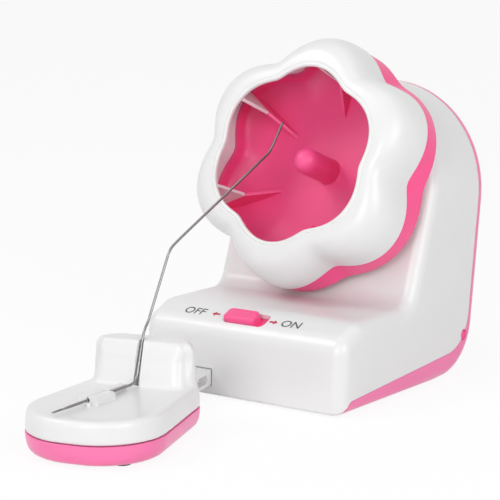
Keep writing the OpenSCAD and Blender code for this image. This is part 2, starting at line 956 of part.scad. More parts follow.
// An idler: a wheel in one layer and a pinion in the next, with a bore for its pin
module idler(wheel_z, wheel_angle, pinion_angle) {
    difference() {
        union() {
            gear(wheel_n, wheel_z, gear_t, wheel_angle, gap = true);
            gear(pinion_n, wheel_z, 2 * gear_t + layer_gap, pinion_angle);
        }
        translate([0, 0, wheel_z - over])
            cylinder(h = 2 * gear_t + layer_gap + 2 * over, d = pin_d + 2 * run_fit);
    }
}

module gear_a() {
    color(nylon)
    on_axis()
    translate([gear_a_at[0], gear_a_at[1], 0])
        idler(layer_3, toward(gear_a_at, motor_at), toward(gear_a_at, gear_b_at));
}

module gear_b() {
    color(nylon)
    on_axis()
    translate([gear_b_at[0], gear_b_at[1], 0])
        idler(layer_2, toward(gear_b_at, gear_a_at), toward(gear_b_at, [0, 0]));
}

module idler_pins() {
    color(steel)
    on_axis()
    for (at = [gear_a_at, gear_b_at])
        translate([at[0], at[1], plate_back])
            cylinder(h = -plate_back - wall, d = pin_d);
}

module bowl_shaft() {
    color(steel)
    on_axis()
    translate([0, 0, shaft_tail])
        cylinder(h = shaft_tip - shaft_tail, d = shaft_d);
}

module output_gear() {
    color(nylon)
    on_axis()
    difference() {
        gear(wheel_n, layer_1, gear_t, toward([0, 0], gear_b_at), gap = true);
        translate([0, 0, layer_1 - over])
            cylinder(h = gear_t + 2 * over, d = shaft_d);
    }
}

module shaft_clip() {
    color(dark)
    on_axis()
    translate([0, 0, plate_back - flange_t - layer_gap - clip_t])
    difference() {
        cylinder(h = clip_t, d = shaft_d + 4);
        translate([0, 0, -over])
            cylinder(h = clip_t + 2 * over, d = shaft_d);
    }
}

// Share of the way from notch to petal at an angle, soft in the notches
function petal_share(a) =
    (sqrt(pow(cos(petals / 2 * (a - petal_turn)), 2) + pow(notch_soft, 2)) - notch_soft)
    / (sqrt(1 + pow(notch_soft, 2)) - notch_soft);

// A closed flower-shaped loft through stations [z, notch radius, petal radius], lowest first
module flower_loft(stations) {
    last = len(stations) - 1;
    points = [for (s = stations, i = [0 : flower_n - 1])
        let (a = 360 * i / flower_n, r = s[1] + (s[2] - s[1]) * petal_share(a))
        [r * cos(a), r * sin(a), s[0]]];
    sides = [for (k = [0 : last - 1], i = [0 : flower_n - 1])
        let (j = (i + 1) % flower_n, p = k * flower_n, q = p + flower_n)
        each [[p + i, q + i, q + j], [p + i, q + j, p + j]]];
    bottom = [[for (i = [0 : flower_n - 1]) i]];
    top = [[for (i = [flower_n - 1 : -1 : 0]) last * flower_n + i]];
    polyhedron(points, concat(sides, bottom, top));
}

// Stations of a cup that rises from a round foot to the flower at its top, as a quarter oval
function cup(z0, z1, foot_r, notch_r, petal_r) =
    [for (i = [0 : loft_n]) let (a = 90 * i / loft_n, s = sin(a))
        [z0 + (z1 - z0) * (1 - cos(a)), foot_r + (notch_r - foot_r) * s, foot_r + (petal_r - foot_r) * s]];

// Stations of a dome that closes from one flower at its foot to another at its top
function dome(z0, z1, notch_0, petal_0, notch_1, petal_1) =
    [for (i = [0 : loft_n]) let (a = 90 * i / loft_n, c = pow(cos(a), dome_full))
        [z0 + (z1 - z0) * pow(sin(a), dome_full),
            notch_1 + (notch_0 - notch_1) * c, petal_1 + (petal_0 - petal_1) * c]];

// Thin plates at the petals' middles, drawn as [radius, height]
module fins(outline) {
    for (i = [0 : petals - 1])
        rotate(petal_turn + 360 * i / petals)
            rotate([90, 0, 0])
                linear_extrude(fin_t, center = true)
                    polygon(outline);
}

// The bowl's form as a solid cup with a straight band inside the skirt, drawn in by its wall
module bowl_skin(shrink) {
    band_r = band_in + bowl_wall / 2 + shrink;
    notch_r = rim_notch_r - band_r;
    petal_r = rim_petal_r - band_r;
    flower_loft(concat(
        cup(bowl_base + shrink, rim_z - band_h, floor_r + bowl_wall - shrink, notch_r, petal_r),
        [[rim_z + (shrink == 0 ? 0 : over), notch_r, petal_r]]));
}

// The form of the skirt behind the rim, with notches that fade to its lower edge, drawn in by its wall
module skirt_form(shrink, grow) {
    top_r = band_in + shrink;
    flower_loft([[skirt_z - grow, skirt_notch_r - shrink, skirt_petal_r - shrink],
        [rim_z + grow, rim_notch_r - top_r, rim_petal_r - top_r]]);
}

// The post with its round tip and the hub behind the floor, as one turned form
module bowl_post() {
    rotate_extrude($fn = post_fn)
        polygon(concat(
            [[0, hub_out], [hub_d / 2, hub_out], [hub_d / 2, bowl_base + root], [post_d / 2, bowl_base + root]],
            arc([0, bowl_floor + post_h - post_d / 2], post_d / 2, 0, 90, loft_n)));
}

module bowl() {
    fin_z = rim_z - seam_gap;
    color(deep_pink)
    on_axis()
    difference() {
        union() {
            difference() {
                bowl_skin(0);
                bowl_skin(bowl_wall);
            }
            difference() {
                skirt_form(0, 0);
                skirt_form(bowl_wall, over);
            }
            intersection() {
                bowl_skin(bowl_wall / 2);
                fins([[fin_top_r, fin_z], [rim_petal_r, fin_z], [rim_petal_r, bowl_base],
                    [fin_foot_r, bowl_floor - bowl_wall / 2]]);
            }
            bowl_post();
        }
        translate([0, 0, -over])
            cylinder(h = shaft_tip + over, d = shaft_d);
    }
}

// The hollow rim, with the upper ends of the fins under its dome
module bowl_rim() {
    fin_z = mouth_out - fin_top;
    color(white)
    on_axis()
    difference() {
        flower_loft(dome(rim_z, mouth_out, rim_notch_r, rim_petal_r, mouth_notch_r, mouth_petal_r));
        difference() {
            union() {
                flower_loft(concat(
                    [[rim_z - over, rim_notch_r - bowl_wall, rim_petal_r - bowl_wall]],
                    dome(rim_z, mouth_out - bowl_wall, rim_notch_r - bowl_wall, rim_petal_r - bowl_wall,
                        mouth_notch_r - root, mouth_petal_r - root)));
                flower_loft([[rim_z - 2 * over, mouth_notch_r, mouth_petal_r],
                    [mouth_out + over, mouth_notch_r, mouth_petal_r]]);
            }
            fins([[fin_top_r, fin_z], [rim_petal_r, fin_z], [rim_petal_r, rim_z - 3 * over],
                [fin_top_r, rim_z - 3 * over]]);
        }
    }
}

// A knob with round corners, its underside at z = 0
module knob(length, width, height) {
    corner = 2.4;
    hull()
        for (x = [-1, 1], y = [-1, 1])
            translate([x * (length / 2 - corner), y * (width / 2 - corner), 0]) {
                cylinder(h = height - 0.7, r = corner, $fn = 32);
                cylinder(h = height, r = corner - 0.7, $fn = 32);
            }
}

module switch_slider() {
    color(deep_pink)
    on_panel()
    translate([-switch_travel / 2, 0, 0]) {
        translate([-slider_l / 2, -slider_w / 2, slider_top - slider_t])
            cube([slider_l, slider_w, slider_t]);
        translate([0, 0, slider_top - root])
            knob(knob_l, knob_w, knob_out - slider_top + root);
    }
}

module switch_lever() {
    color(dark)
    on_panel()
    translate([-switch_travel / 2 - lever_l / 2, -lever_w / 2, switch_top - lever_in])
        cube([lever_l, lever_w, slider_top - slider_t - switch_top + lever_in]);
}

module switch_body() {
    length = lever_l + switch_travel + 12;
    color(steel)
    on_panel()
    difference() {
        translate([-length / 2, -board_w / 3, board_top])
            cube([length, board_w * 2 / 3, switch_h]);
        translate([0, 0, switch_top])
            cube([lever_l + switch_travel + 2 * slide_fit, lever_w + 2 * slide_fit,
                2 * (lever_in + slide_fit)], center = true);
    }
}

module switch_board() {
    color(board_green)
    on_panel()
    difference() {
        translate([-board_l / 2, -board_w / 2, board_top - board_t])
            cube([board_l, board_w, board_t]);
        for (side = [-1, 1])
            translate([side * switch_post_x, 0, board_top - board_t - over])
                cylinder(h = board_t + 2 * over, d = screw_d + 2 * run_fit);
    }
}

module switch_screws() {
    color(steel)
    on_panel()
    for (side = [-1, 1])
        translate([side * switch_post_x, 0, board_top - board_t])
            mirror([0, 0, 1])
                screw(board_t + board_screw_in);
}

// A thin slice of the foot's plan at a height, drawn in by a distance
module foot_slice(inset, z) {
    for (side = [-1, 1]) {
        translate([side * (foot_w / 2 - foot_front_r), foot_front_r - foot_l / 2, z])
            cylinder(h = slice, r = foot_front_r - inset, $fn = 32);
        translate([side * (foot_back_w / 2 - foot_back_r), foot_l / 2 - foot_back_r, z])
            cylinder(h = slice, r = foot_back_r - inset, $fn = 32);
    }
}

// A thin slice of the rear block's plan at a height
module block_slice(inset, z) {
    front = foot_l / 2 - block_l + (z - foot_low_h) * tan(block_lean);
    front_w = foot_back_w + (foot_w - foot_back_w) * block_l / foot_l;
    for (side = [-1, 1]) {
        translate([side * (front_w / 2 - block_r), min(front + block_r, foot_l / 2 - foot_back_r), z])
            cylinder(h = slice, r = block_r - inset, $fn = 32);
        translate([side * (foot_back_w / 2 - foot_back_r), foot_l / 2 - foot_back_r, z])
            cylinder(h = slice, r = foot_back_r - inset, $fn = 32);
    }
}

// Puts a child drawn on the block's leaning face in place, a distance behind it
module on_block_face(inset) {
    translate([0, foot_l / 2 - block_l, foot_low_h])
        rotate([-block_lean, 0, 0])
            translate([0, inset, 0])
                children();
}

// The upper half of the foot's form drawn in by an even distance: a low front and a rear block
module foot_top(inset, z) {
    hull() {
        foot_slice(inset, z);
        foot_slice(inset + 0.5, foot_low_h - 2.4 - inset);
        foot_slice(inset + 2.6, foot_low_h - slice - inset);
    }
    intersection() {
        hull() {
            block_slice(inset + 0.4, z);
            block_slice(inset + 2, foot_block_h - 6 - inset);
            block_slice(inset + 4, foot_block_h - 1.6 - inset);
            block_slice(inset + 6.4, foot_block_h - slice - inset);
        }
        on_block_face(inset)
            translate([-foot_w / 2, 0, -foot_block_h])
                cube([foot_w, 2 * block_l, 3 * foot_block_h]);
    }
}

// Places of the foot's screws
module foot_screw_places() {
    for (at = foot_boss_pts)
        translate([at[0], at[1], 0])
            children();
}

// The link arm's way through the foot, drawn on the foot's plan with a clearance
module arm_way(fit) {
    translate([-arm_w / 2 - fit, foot_l / 2 - arm_root - fit, arm_z - fit])
        cube([arm_w + 2 * fit, arm_root + foot_gap + fit, arm_h + 2 * fit]);
}

module foot_shell() {
    color(white)
    on_foot()
    difference() {
        union() {
            difference() {
                foot_top(0, foot_seam_h);
                foot_top(foot_wall, foot_seam_h - over);
            }
            // A rib behind the groove and bosses for the screws
            intersection() {
                foot_top(foot_wall / 2, foot_seam_h);
                union() {
                    translate([-rib_w / 2, -foot_l, foot_seam_h])
                        cube([rib_w, 2 * foot_l, foot_block_h]);
                    foot_screw_places()
                        cylinder(h = foot_block_h, d = foot_boss_d);
                }
            }
            foot_screw_places()
                translate([0, 0, foot_floor])
                    cylinder(h = foot_seam_h - foot_floor + over, d = foot_boss_d);
        }
        foot_screw_places()
            translate([0, 0, foot_floor - over])
                cylinder(h = foot_screw_in + over, d = screw_d);
        // Groove for the needle, up the block's leaning face and over its top
        on_block_face(groove_deep)
            translate([-groove_w / 2, -2 * block_l, 0])
                cube([groove_w, 2 * block_l, 2 * foot_block_h]);
        arm_way(run_fit);
    }
}

module foot_base() {
    color(pink)
    on_foot()
    difference() {
        hull() {
            foot_slice(5, 0);
            foot_slice(2, 1.4);
            foot_slice(0.5, 4.2);
            foot_slice(0, foot_seam_h - slice);
        }
        hull() {
            foot_slice(5 + foot_wall / 2, foot_floor);
            foot_slice(foot_wall + 0.5, 4.2);
            foot_slice(foot_wall, foot_seam_h + over);
        }
        foot_screw_places() {
            translate([0, 0, -over])
                cylinder(h = foot_floor + 2 * over, d = screw_d + 2 * run_fit);
            translate([0, 0, -over])
                cylinder(h = over + flush_head_h, d = head_d + 2 * slide_fit);
        }
        pad_places(foot_pads_at, -over)
            cylinder(h = pad_deep + over, d = foot_pad_d);
        arm_way(run_fit);
    }
}

module foot_screws() {
    color(steel)
    on_foot()
    foot_screw_places() {
        cylinder(h = flush_head_h, d = head_d);
        cylinder(h = foot_floor + foot_screw_in - slide_fit, d = screw_d);
    }
}

module foot_pads() {
    color(dark)
    on_foot()
        pad_places(foot_pads_at, -pad_out)
            cylinder(h = pad_out + pad_deep, d = foot_pad_d);
}

module link_arm() {
    color(white)
    on_arm()
    difference() {
        translate([-arm_w / 2, -foot_gap - arm_root, arm_z])
            cube([arm_w, arm_root + foot_gap + arm_in, arm_h]);
        translate([arm_w / 2 - arm_recess, -foot_gap + 3, arm_z + arm_flange])
            cube([arm_recess + over, foot_gap - 8, arm_h - 2 * arm_flange]);
    }
}

// Puts a child drawn along the needle's lower run in place, measured from the groove
module on_wire() {
    on_arm()
        translate([0, groove_y, 0])
            rotate(-wire_turn)
                children();
}

module needle_clip_front() {
    color(white)
    on_wire()
    translate([0, -clip_back, foot_low_h])
    difference() {
        translate([-clip_w / 2, -clip_l / 2, 0])
            cube([clip_w, clip_l, clip_h]);
        translate([-groove_w / 2, -clip_l, clip_floor])
            cube([groove_w, 2 * clip_l, clip_h]);
    }
}

module needle_clip_rear() {
    color(white)
    on_wire()
        translate([-groove_w / 2 - rib_clip_w, -clip_l - 4, foot_low_h])
            cube([rib_clip_w, clip_l, rib_clip_h]);
}

// A round wire swept through points, mitred where it bends in height, with its first points beaten flat
module wire_run(points, d, flat) {
    last = len(points) - 1;
    side_view = [for (p = points) [p[1], p[2]]];
    runs = [for (i = [0 : last - 1])
        let (run = side_view[i + 1] - side_view[i]) run / norm(run)];
    rings = [for (i = [0 : last], k = [0 : wire_n - 1])
        let (before = runs[max(i - 1, 0)], after = runs[min(i, last - 1)],
            along = (before + after) / norm(before + after),
            side = [-along[1], along[0]] / (along * before),
            a = 360 * k / wire_n, beaten = i < flat ? 2 : 1,
            at = side_view[i] + side * sin(a) * d / 2 / beaten)
        [points[i][0] + cos(a) * d / 2 * (1 + beaten) / 2, at[0], at[1]]];
    skin = [for (i = [0 : last - 1], k = [0 : wire_n - 1])
        let (n = (k + 1) % wire_n, p = i * wire_n, q = p + wire_n)
        each [[p + k, q + k, q + n], [p + k, q + n, p + n]]];
    ends = [[for (k = [0 : wire_n - 1]) k], [for (k = [wire_n - 1 : -1 : 0]) last * wire_n + k]];
    polyhedron(rings, concat(skin, ends));
}

module needle() {
    color(steel)
    difference() {
        wire_run(needle_route, needle_d, 2);
        on_wire()
            translate([-needle_d * 0.35, eye_end - needle_on_foot, wire_z - needle_d])
                cube([needle_d * 0.7, eye_l - 2 * eye_end, 2 * needle_d]);
    }
}

on_pads() front_shell();
on_pads() rear_cover();
on_pads() rubber_feet();
on_pads() cover_screws();
on_pads() battery_tray();
on_pads() tray_screws();
on_pads() battery_cells();
on_pads() contact_springs();
on_pads() contact_plates();
on_pads() battery_door();
on_pads() door_screw();
on_pads() gear_plate();
on_pads() gear_plate_screws();
on_pads() front_bush();
on_pads() rear_bush();
on_pads() motor_can();
on_pads() motor_end_cap();
on_pads() motor_screws();
on_pads() motor_shaft();
on_pads() motor_pinion();
on_pads() gear_a();
on_pads() gear_b();
on_pads() idler_pins();
on_pads() bowl_shaft();
on_pads() output_gear();
on_pads() shaft_clip();
on_pads() bowl();
on_pads() bowl_rim();
on_pads() switch_slider();
on_pads() switch_lever();
on_pads() switch_body();
on_pads() switch_board();
on_pads() switch_screws();
on_pads() foot_shell();
on_pads() foot_base();
on_pads() foot_screws();
on_pads() foot_pads();
on_pads() link_arm();
on_pads() needle_clip_front();
on_pads() needle_clip_rear();
on_pads() needle();
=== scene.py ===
"""Looks of an electric bead spinner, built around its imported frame.

Sizes in the classes are in millimetres, in the frames in which the part is drawn. A Frame turns its
points into metres in the part's own frame, so every mesh lies in place with its object at the origin.
"""

from __future__ import annotations

import json
import logging
import math
from dataclasses import dataclass, field
from enum import Enum
from typing import Callable, Sequence

import bmesh
import bpy
from bpy.types import Material, Node, NodeTree, Object
from mathutils import Matrix, Vector

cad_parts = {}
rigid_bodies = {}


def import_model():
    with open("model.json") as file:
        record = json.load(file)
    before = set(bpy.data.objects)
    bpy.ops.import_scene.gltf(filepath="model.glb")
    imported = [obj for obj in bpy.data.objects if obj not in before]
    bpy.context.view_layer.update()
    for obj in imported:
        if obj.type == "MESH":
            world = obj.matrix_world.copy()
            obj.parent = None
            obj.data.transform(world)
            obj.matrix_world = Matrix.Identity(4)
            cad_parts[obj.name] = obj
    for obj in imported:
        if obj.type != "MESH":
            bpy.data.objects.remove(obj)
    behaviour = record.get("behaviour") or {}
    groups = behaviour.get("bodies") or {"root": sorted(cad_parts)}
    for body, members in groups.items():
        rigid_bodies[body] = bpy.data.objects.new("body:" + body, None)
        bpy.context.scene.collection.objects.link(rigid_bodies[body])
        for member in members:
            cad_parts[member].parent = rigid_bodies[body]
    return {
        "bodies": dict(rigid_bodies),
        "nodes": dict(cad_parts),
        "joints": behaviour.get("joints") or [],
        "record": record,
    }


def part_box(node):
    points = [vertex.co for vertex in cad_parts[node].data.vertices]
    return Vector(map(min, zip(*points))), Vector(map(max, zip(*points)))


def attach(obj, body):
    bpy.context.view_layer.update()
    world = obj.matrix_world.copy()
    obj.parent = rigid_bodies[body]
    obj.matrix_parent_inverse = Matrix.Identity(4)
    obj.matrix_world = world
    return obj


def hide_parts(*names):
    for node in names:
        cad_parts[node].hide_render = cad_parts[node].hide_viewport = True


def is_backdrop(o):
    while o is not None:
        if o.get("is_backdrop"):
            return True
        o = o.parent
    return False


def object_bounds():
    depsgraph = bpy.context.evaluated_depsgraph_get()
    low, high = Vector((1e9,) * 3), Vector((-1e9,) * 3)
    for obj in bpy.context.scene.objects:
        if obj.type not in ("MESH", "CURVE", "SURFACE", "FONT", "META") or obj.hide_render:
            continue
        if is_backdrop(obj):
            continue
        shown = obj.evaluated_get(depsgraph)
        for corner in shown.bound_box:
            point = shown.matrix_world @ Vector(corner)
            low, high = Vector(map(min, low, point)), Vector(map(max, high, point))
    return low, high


LOG = logging.getLogger("bead_spinner")
MM = 0.001
# Front of the housing and height of its underside, from the middle of the whole part
FRONT_Y = -3.08237
PAD_OUT = 0.8
# Where the bowl's axis leaves the upright's face, and how far it is tipped forward
AXIS_Y = 72.9265
AXIS_Z = 88.5
AXIS_TILT = 70.0
# Middle of the switch on the sloped panel, and the panel's rise and run
SWITCH_AT = (-1.5, 8.5, 33.5)
PANEL_RISE = 6.0
PANEL_RUN = 14.0
# Where the link arm enters the housing, and its turn
ARM_X = -20.0
ARM_TURN = 13.5
# Middle of the foot along the arm, and the needle's bend on it with the turn of its run
FOOT_Y = -82.0
WIRE_Y = -64.0
WIRE_TURN = -9.0
# Top of the foot's low part, and where its rear block's leaning face starts
FOOT_LOW_H = 17.6
BLOCK_FRONT = 18.0
BLOCK_LEAN = 17.0
# Band that holds most values of a noise
NOISE_LOW = 0.3
NOISE_HIGH = 0.7

Point = tuple[float, float]
Triple = tuple[float, float, float]
Outline = Sequence[Point]
Loop = Sequence[Vector]
EdgeShare = Callable[[bmesh.types.BMEdge], float]


class Axis(Enum):
    """Axes round which a frame is turned."""

    X = "X"
    Z = "Z"


class Cut(Enum):
    """How a tool acts on a piece."""

    TAKE = "DIFFERENCE"
    KEEP = "INTERSECT"
    JOIN = "UNION"


@dataclass(frozen=True)
class Frame:
    """A place on the part in which pieces are drawn in millimetres."""

    matrix: Matrix

    def point(self, x: float, y: float, z: float = 0.0) -> Vector:
        """Gives a point of this frame in the part's own frame.

        Args:
            x: Across, in millimetres.
            y: Along, in millimetres.
            z: Up, in millimetres.

        Returns:
            The point in metres.
        """
        return MM * (self.matrix @ Vector((x, y, z)))

    def moved(self, x: float, y: float, z: float) -> Frame:
        """Gives a frame beside this one.

        Args:
            x: Across, in millimetres.
            y: Along, in millimetres.
            z: Up, in millimetres.

        Returns:
            The new frame.
        """
        return Frame(self.matrix @ Matrix.Translation((x, y, z)))

    def turned(self, degrees: float, axis: Axis) -> Frame:
        """Gives this frame turned round one of its axes.

        Args:
            degrees: Turn in degrees.
            axis: Axis of the turn.

        Returns:
            The new frame.
        """
        return Frame(self.matrix @ Matrix.Rotation(math.radians(degrees), 4, axis.value))

    def plan(self, outline: Outline, z: float) -> list[Vector]:
        """Lays an outline flat in this frame.

        Args:
            outline: Points as (x, y).
            z: Height of the outline.

        Returns:
            The loop in metres.
        """
        return [self.point(x, y, z) for x, y in outline]

    def side(self, outline: Outline, x: float) -> list[Vector]:
        """Stands an outline across this frame.

        Args:
            outline: Points as (y, z).
            x: Place of the outline across the frame.

        Returns:
            The loop in metres.
        """
        return [self.point(x, y, z) for y, z in outline]


HOUSING = Frame(Matrix.Translation((0.0, FRONT_Y, PAD_OUT)))
BOWL = HOUSING.moved(0.0, AXIS_Y, AXIS_Z).turned(AXIS_TILT, Axis.X)
PANEL = HOUSING.moved(*SWITCH_AT).turned(math.degrees(math.atan2(PANEL_RISE, PANEL_RUN)), Axis.X)
ARM = HOUSING.moved(ARM_X, 0.0, 0.0).turned(ARM_TURN, Axis.Z)
FOOT = ARM.moved(0.0, FOOT_Y, 0.0)
WIRE = ARM.moved(0.0, WIRE_Y, 0.0).turned(WIRE_TURN, Axis.Z)
BLOCK_FACE = FOOT.moved(0.0, BLOCK_FRONT, FOOT_LOW_H).turned(-BLOCK_LEAN, Axis.X)


def arc(centre: Point, radius: float, start: float, end: float, count: int) -> list[Point]:
    """Draws an arc as points.

    Args:
        centre: Middle of the arc.
        radius: Radius of the arc.
        start: First angle in degrees.
        end: Last angle in degrees.
        count: Number of steps.

    Returns:
        The points from start to end.
    """
    angles = [math.radians(start + (end - start) * i / count) for i in range(count + 1)]
    return [(centre[0] + radius * math.cos(a), centre[1] + radius * math.sin(a)) for a in angles]


def rounded(half_x: float, half_y: float, radius: float, count: int = 6) -> list[Point]:
    """Draws a rectangle with round corners.

    Args:
        half_x: Half of its size across.
        half_y: Half of its size along.
        radius: Radius of its corners.
        count: Steps in each corner.

    Returns:
        The outline, anticlockwise.
    """
    x, y = half_x - radius, half_y - radius
    return [
        *arc((x, -y), radius, -90.0, 0.0, count),
        *arc((x, y), radius, 0.0, 90.0, count),
        *arc((-x, y), radius, 90.0, 180.0, count),
        *arc((-x, -y), radius, 180.0, 270.0, count),
    ]


def circle(radius: float, count: int = 40) -> list[Point]:
    """Draws a circle as points.

    Args:
        radius: Radius of the circle.
        count: Number of points.

    Returns:
        The outline, anticlockwise.
    """
    return arc((0.0, 0.0), radius, 0.0, 360.0 - 360.0 / count, count - 1)


class Bench:
    """Makes and shapes meshes with Blender's own operators."""

    @staticmethod
    def pick(piece: Object | None) -> None:
        """Leaves edit mode and selects one piece alone.

        Args:
            piece: The piece, or None to select nothing.
        """
        if bpy.context.object and bpy.context.object.mode != "OBJECT":
            bpy.ops.object.mode_set(mode="OBJECT")
        bpy.ops.object.select_all(action="DESELECT")
        if piece:
            piece.select_set(True)
            bpy.context.view_layer.objects.active = piece

    @staticmethod
    def loft(name: str, loops: Sequence[Loop], closed: bool = False) -> Object:
        """Draws a ring and extrudes it from loop to loop.

        Args:
            name: Name of the new piece.
            loops: Loops of equal length, in metres.
            closed: Whether the last loop joins the first; otherwise both are capped.

        Returns:
            The piece, with its normals outwards.
        """
        Bench.pick(None)
        count = len(loops[0])
        bpy.ops.mesh.primitive_circle_add(vertices=count, radius=1.0)
        piece = bpy.context.object
        piece.name = piece.data.name = name
        bpy.ops.object.mode_set(mode="EDIT")
        bpy.ops.mesh.select_mode(type="EDGE")
        bpy.ops.mesh.select_all(action="SELECT")
        order = list(range(count))
        Bench._place(piece, order, loops[0])
        for loop in loops[1:]:
            bpy.ops.mesh.extrude_edges_indiv()
            order = Bench._grown(piece, order)
            Bench._place(piece, order, loop)
        bpy.ops.mesh.select_all(action="DESELECT")
        bpy.ops.mesh.select_non_manifold(
            extend=False,
            use_wire=False,
            use_multi_face=False,
            use_verts=False,
        )
        if closed:
            bpy.ops.mesh.bridge_edge_loops()
        else:
            bpy.ops.mesh.fill_holes(sides=0)
        bpy.ops.mesh.select_all(action="SELECT")
        bpy.ops.mesh.normals_make_consistent(inside=False)
        bpy.ops.object.mode_set(mode="OBJECT")
        return piece

    @staticmethod
    def slab(name: str, frame: Frame, outline: Outline, low: float, high: float) -> Object:
        """Raises a flat outline between two heights of a frame.

        Args:
            name: Name of the new piece.
            frame: Frame in which it is drawn.
            outline: Its plan.
            low: Height of its underside.
            high: Height of its upper side.

        Returns:
            The piece.
        """
        return Bench.loft(name, [frame.plan(outline, z) for z in (low, high)])

    @staticmethod
    def _grown(piece: Object, order: Sequence[int]) -> list[int]:
        """Finds the corners that an extrusion has just made.

        Args:
            piece: The piece in edit mode.
            order: Corners that were extruded.

        Returns:
            The new corners, in the same order.
        """
        mesh = bmesh.from_edit_mesh(piece.data)
        mesh.verts.index_update()
        mesh.verts.ensure_lookup_table()
        first = len(mesh.verts) - len(order)
        grown = []
        for index in order:
            corner = mesh.verts[index]
            ends = [edge.other_vert(corner).index for edge in corner.link_edges]
            grown.append(next(end for end in ends if end >= first))
        return grown

    @staticmethod
    def _place(piece: Object, order: Sequence[int], loop: Loop) -> None:
        """Moves corners to their places.

        Args:
            piece: The piece in edit mode.
            order: Corners to move.
            loop: Their places, in metres.
        """
        mesh = bmesh.from_edit_mesh(piece.data)
        mesh.verts.ensure_lookup_table()
        for index, place in zip(order, loop):
            mesh.verts[index].co = place
        bmesh.update_edit_mesh(piece.data)

    @staticmethod
    def apply(piece: Object, kind: str, **settings: object) -> None:
        """Adds a modifier and applies it.

        Args:
            piece: The piece.
            kind: Kind of modifier.
            settings: Its settings.
        """
        Bench.pick(piece)
        modifier = piece.modifiers.new(kind.lower(), kind)
        for key, value in settings.items():
            setattr(modifier, key, value)
        bpy.ops.object.modifier_apply(modifier=modifier.name)

    @staticmethod
    def combine(piece: Object, tool: Object, cut: Cut) -> None:
        """Cuts a piece with a tool or joins them, and clears the tool away.

        Args:
            piece: The piece.
            tool: The tool.
            cut: How the tool acts.
        """
        Bench.apply(piece, "BOOLEAN", operation=cut.value, object=tool, solver="EXACT")
        bpy.data.objects.remove(tool, do_unlink=True)

    @staticmethod
    def copy(piece: Object, name: str) -> Object:
        """Copies a piece with its mesh.

        Args:
            piece: The piece.
            name: Name of the copy.

        Returns:
            The copy.
        """
        twin = piece.copy()
        twin.data = piece.data.copy()
        twin.name = twin.data.name = name
        bpy.context.scene.collection.objects.link(twin)
        return twin

    @staticmethod
    def join(pieces: Sequence[Object], name: str) -> Object:
        """Makes one piece of several.

        Args:
            pieces: The pieces.
            name: Name of the whole.

        Returns:
            The joined piece.
        """
        Bench.pick(pieces[0])
        for piece in pieces:
            piece.select_set(True)
        bpy.ops.object.join()
        whole = bpy.context.object
        whole.name = whole.data.name = name
        return whole

    @staticmethod
    def bevel_edges(piece: Object, width: float, share: EdgeShare, segments: int) -> None:
        """Rounds edges, each by its own share of a width.

        Args:
            piece: The piece.
            width: Full width in millimetres.
            share: Gives an edge's share of the width.
            segments: Steps across a rounded edge.
        """
        Bench.pick(piece)
        bpy.ops.object.mode_set(mode="EDIT")
        mesh = bmesh.from_edit_mesh(piece.data)
        layer = mesh.edges.layers.float.new("bevel_weight_edge")
        for edge in mesh.edges:
            edge[layer] = share(edge)
        bmesh.update_edit_mesh(piece.data)
        bpy.ops.object.mode_set(mode="OBJECT")
        Bench.apply(
            piece,
            "BEVEL",
            limit_method="WEIGHT",
            width=width * MM,
            segments=segments,
            use_clamp_overlap=False,
        )

    @staticmethod
    def soften(piece: Object, width: float, angle: float = 40.0, segments: int = 3) -> None:
        """Rounds every edge that is sharper than an angle.

        Args:
            piece: The piece.
            width: Width in millimetres.
            angle: Least angle in degrees.
            segments: Steps across a rounded edge.
        """
        Bench.apply(
            piece,
            "BEVEL",
            limit_method="ANGLE",
            angle_limit=math.radians(angle),
            width=width * MM,
            segments=segments,
        )

    @staticmethod
    def shade(piece: Object, angle: float = 30.0) -> None:
        """Shades a piece smooth, with sharp edges and weighted normals.

        Args:
            piece: The piece.
            angle: Angle in degrees above which an edge stays sharp.
        """
        Bench.pick(piece)
        bpy.ops.object.shade_smooth_by_angle(angle=math.radians(angle))
        Bench.apply(piece, "WEIGHTED_NORMAL", keep_sharp=True, weight=50)


class Graph:
    """A material's nodes, added one by one."""

    def __init__(self, name: str) -> None:
        """Starts a material that holds only its output.

        Args:
            name: Name of the material.
        """
        self.material = bpy.data.materials.new(name)
        self.material.use_nodes = True
        self.tree: NodeTree = self.material.node_tree
        self.tree.nodes.clear()
        self.output = self.add("ShaderNodeOutputMaterial")
        self.coords = self.add("ShaderNodeTexCoord")

    def add(self, kind: str, **values: object) -> Node:
        """Adds a node.

        Args:
            kind: Kind of node.
            values: Values of its sockets by name, spaces as underscores.

        Returns:
            The node.
        """
        node = self.tree.nodes.new(kind)
        for key, value in values.items():
            node.inputs[key.replace("_", " ")].default_value = value
        return node

    def link(self, source: Node, out: str, target: Node, into: str | int) -> None:
        """Links two nodes.

        Args:
            source: Node that gives.
            out: Its socket.
            target: Node that takes.
            into: Its socket.
        """
        self.tree.links.new(source.outputs[out], target.inputs[into])

    def noise(self, scale: float, detail: float = 3.0) -> Node:
        """Adds noise over the object's own coordinates.

        Args:
            scale: Waves to the metre.
            detail: Octaves of detail.

        Returns:
            The noise node.
        """
        node = self.add("ShaderNodeTexNoise", Scale=scale, Detail=detail)
        self.link(self.coords, "Object", node, "Vector")
        return node

    def spread(self, source: Node, out: str, low: float, high: float) -> Node:
        """Maps the band of a noise's values onto a range.

        Args:
            source: Node that gives the value.
            out: Its socket.
            low: Least result.
            high: Greatest result.

        Returns:
            The mapping node.
        """
        node = self.add("ShaderNodeMapRange", From_Min=NOISE_LOW, From_Max=NOISE_HIGH)
        node.inputs["To Min"].default_value = low
        node.inputs["To Max"].default_value = high
        self.link(source, out, node, "Value")
        return node


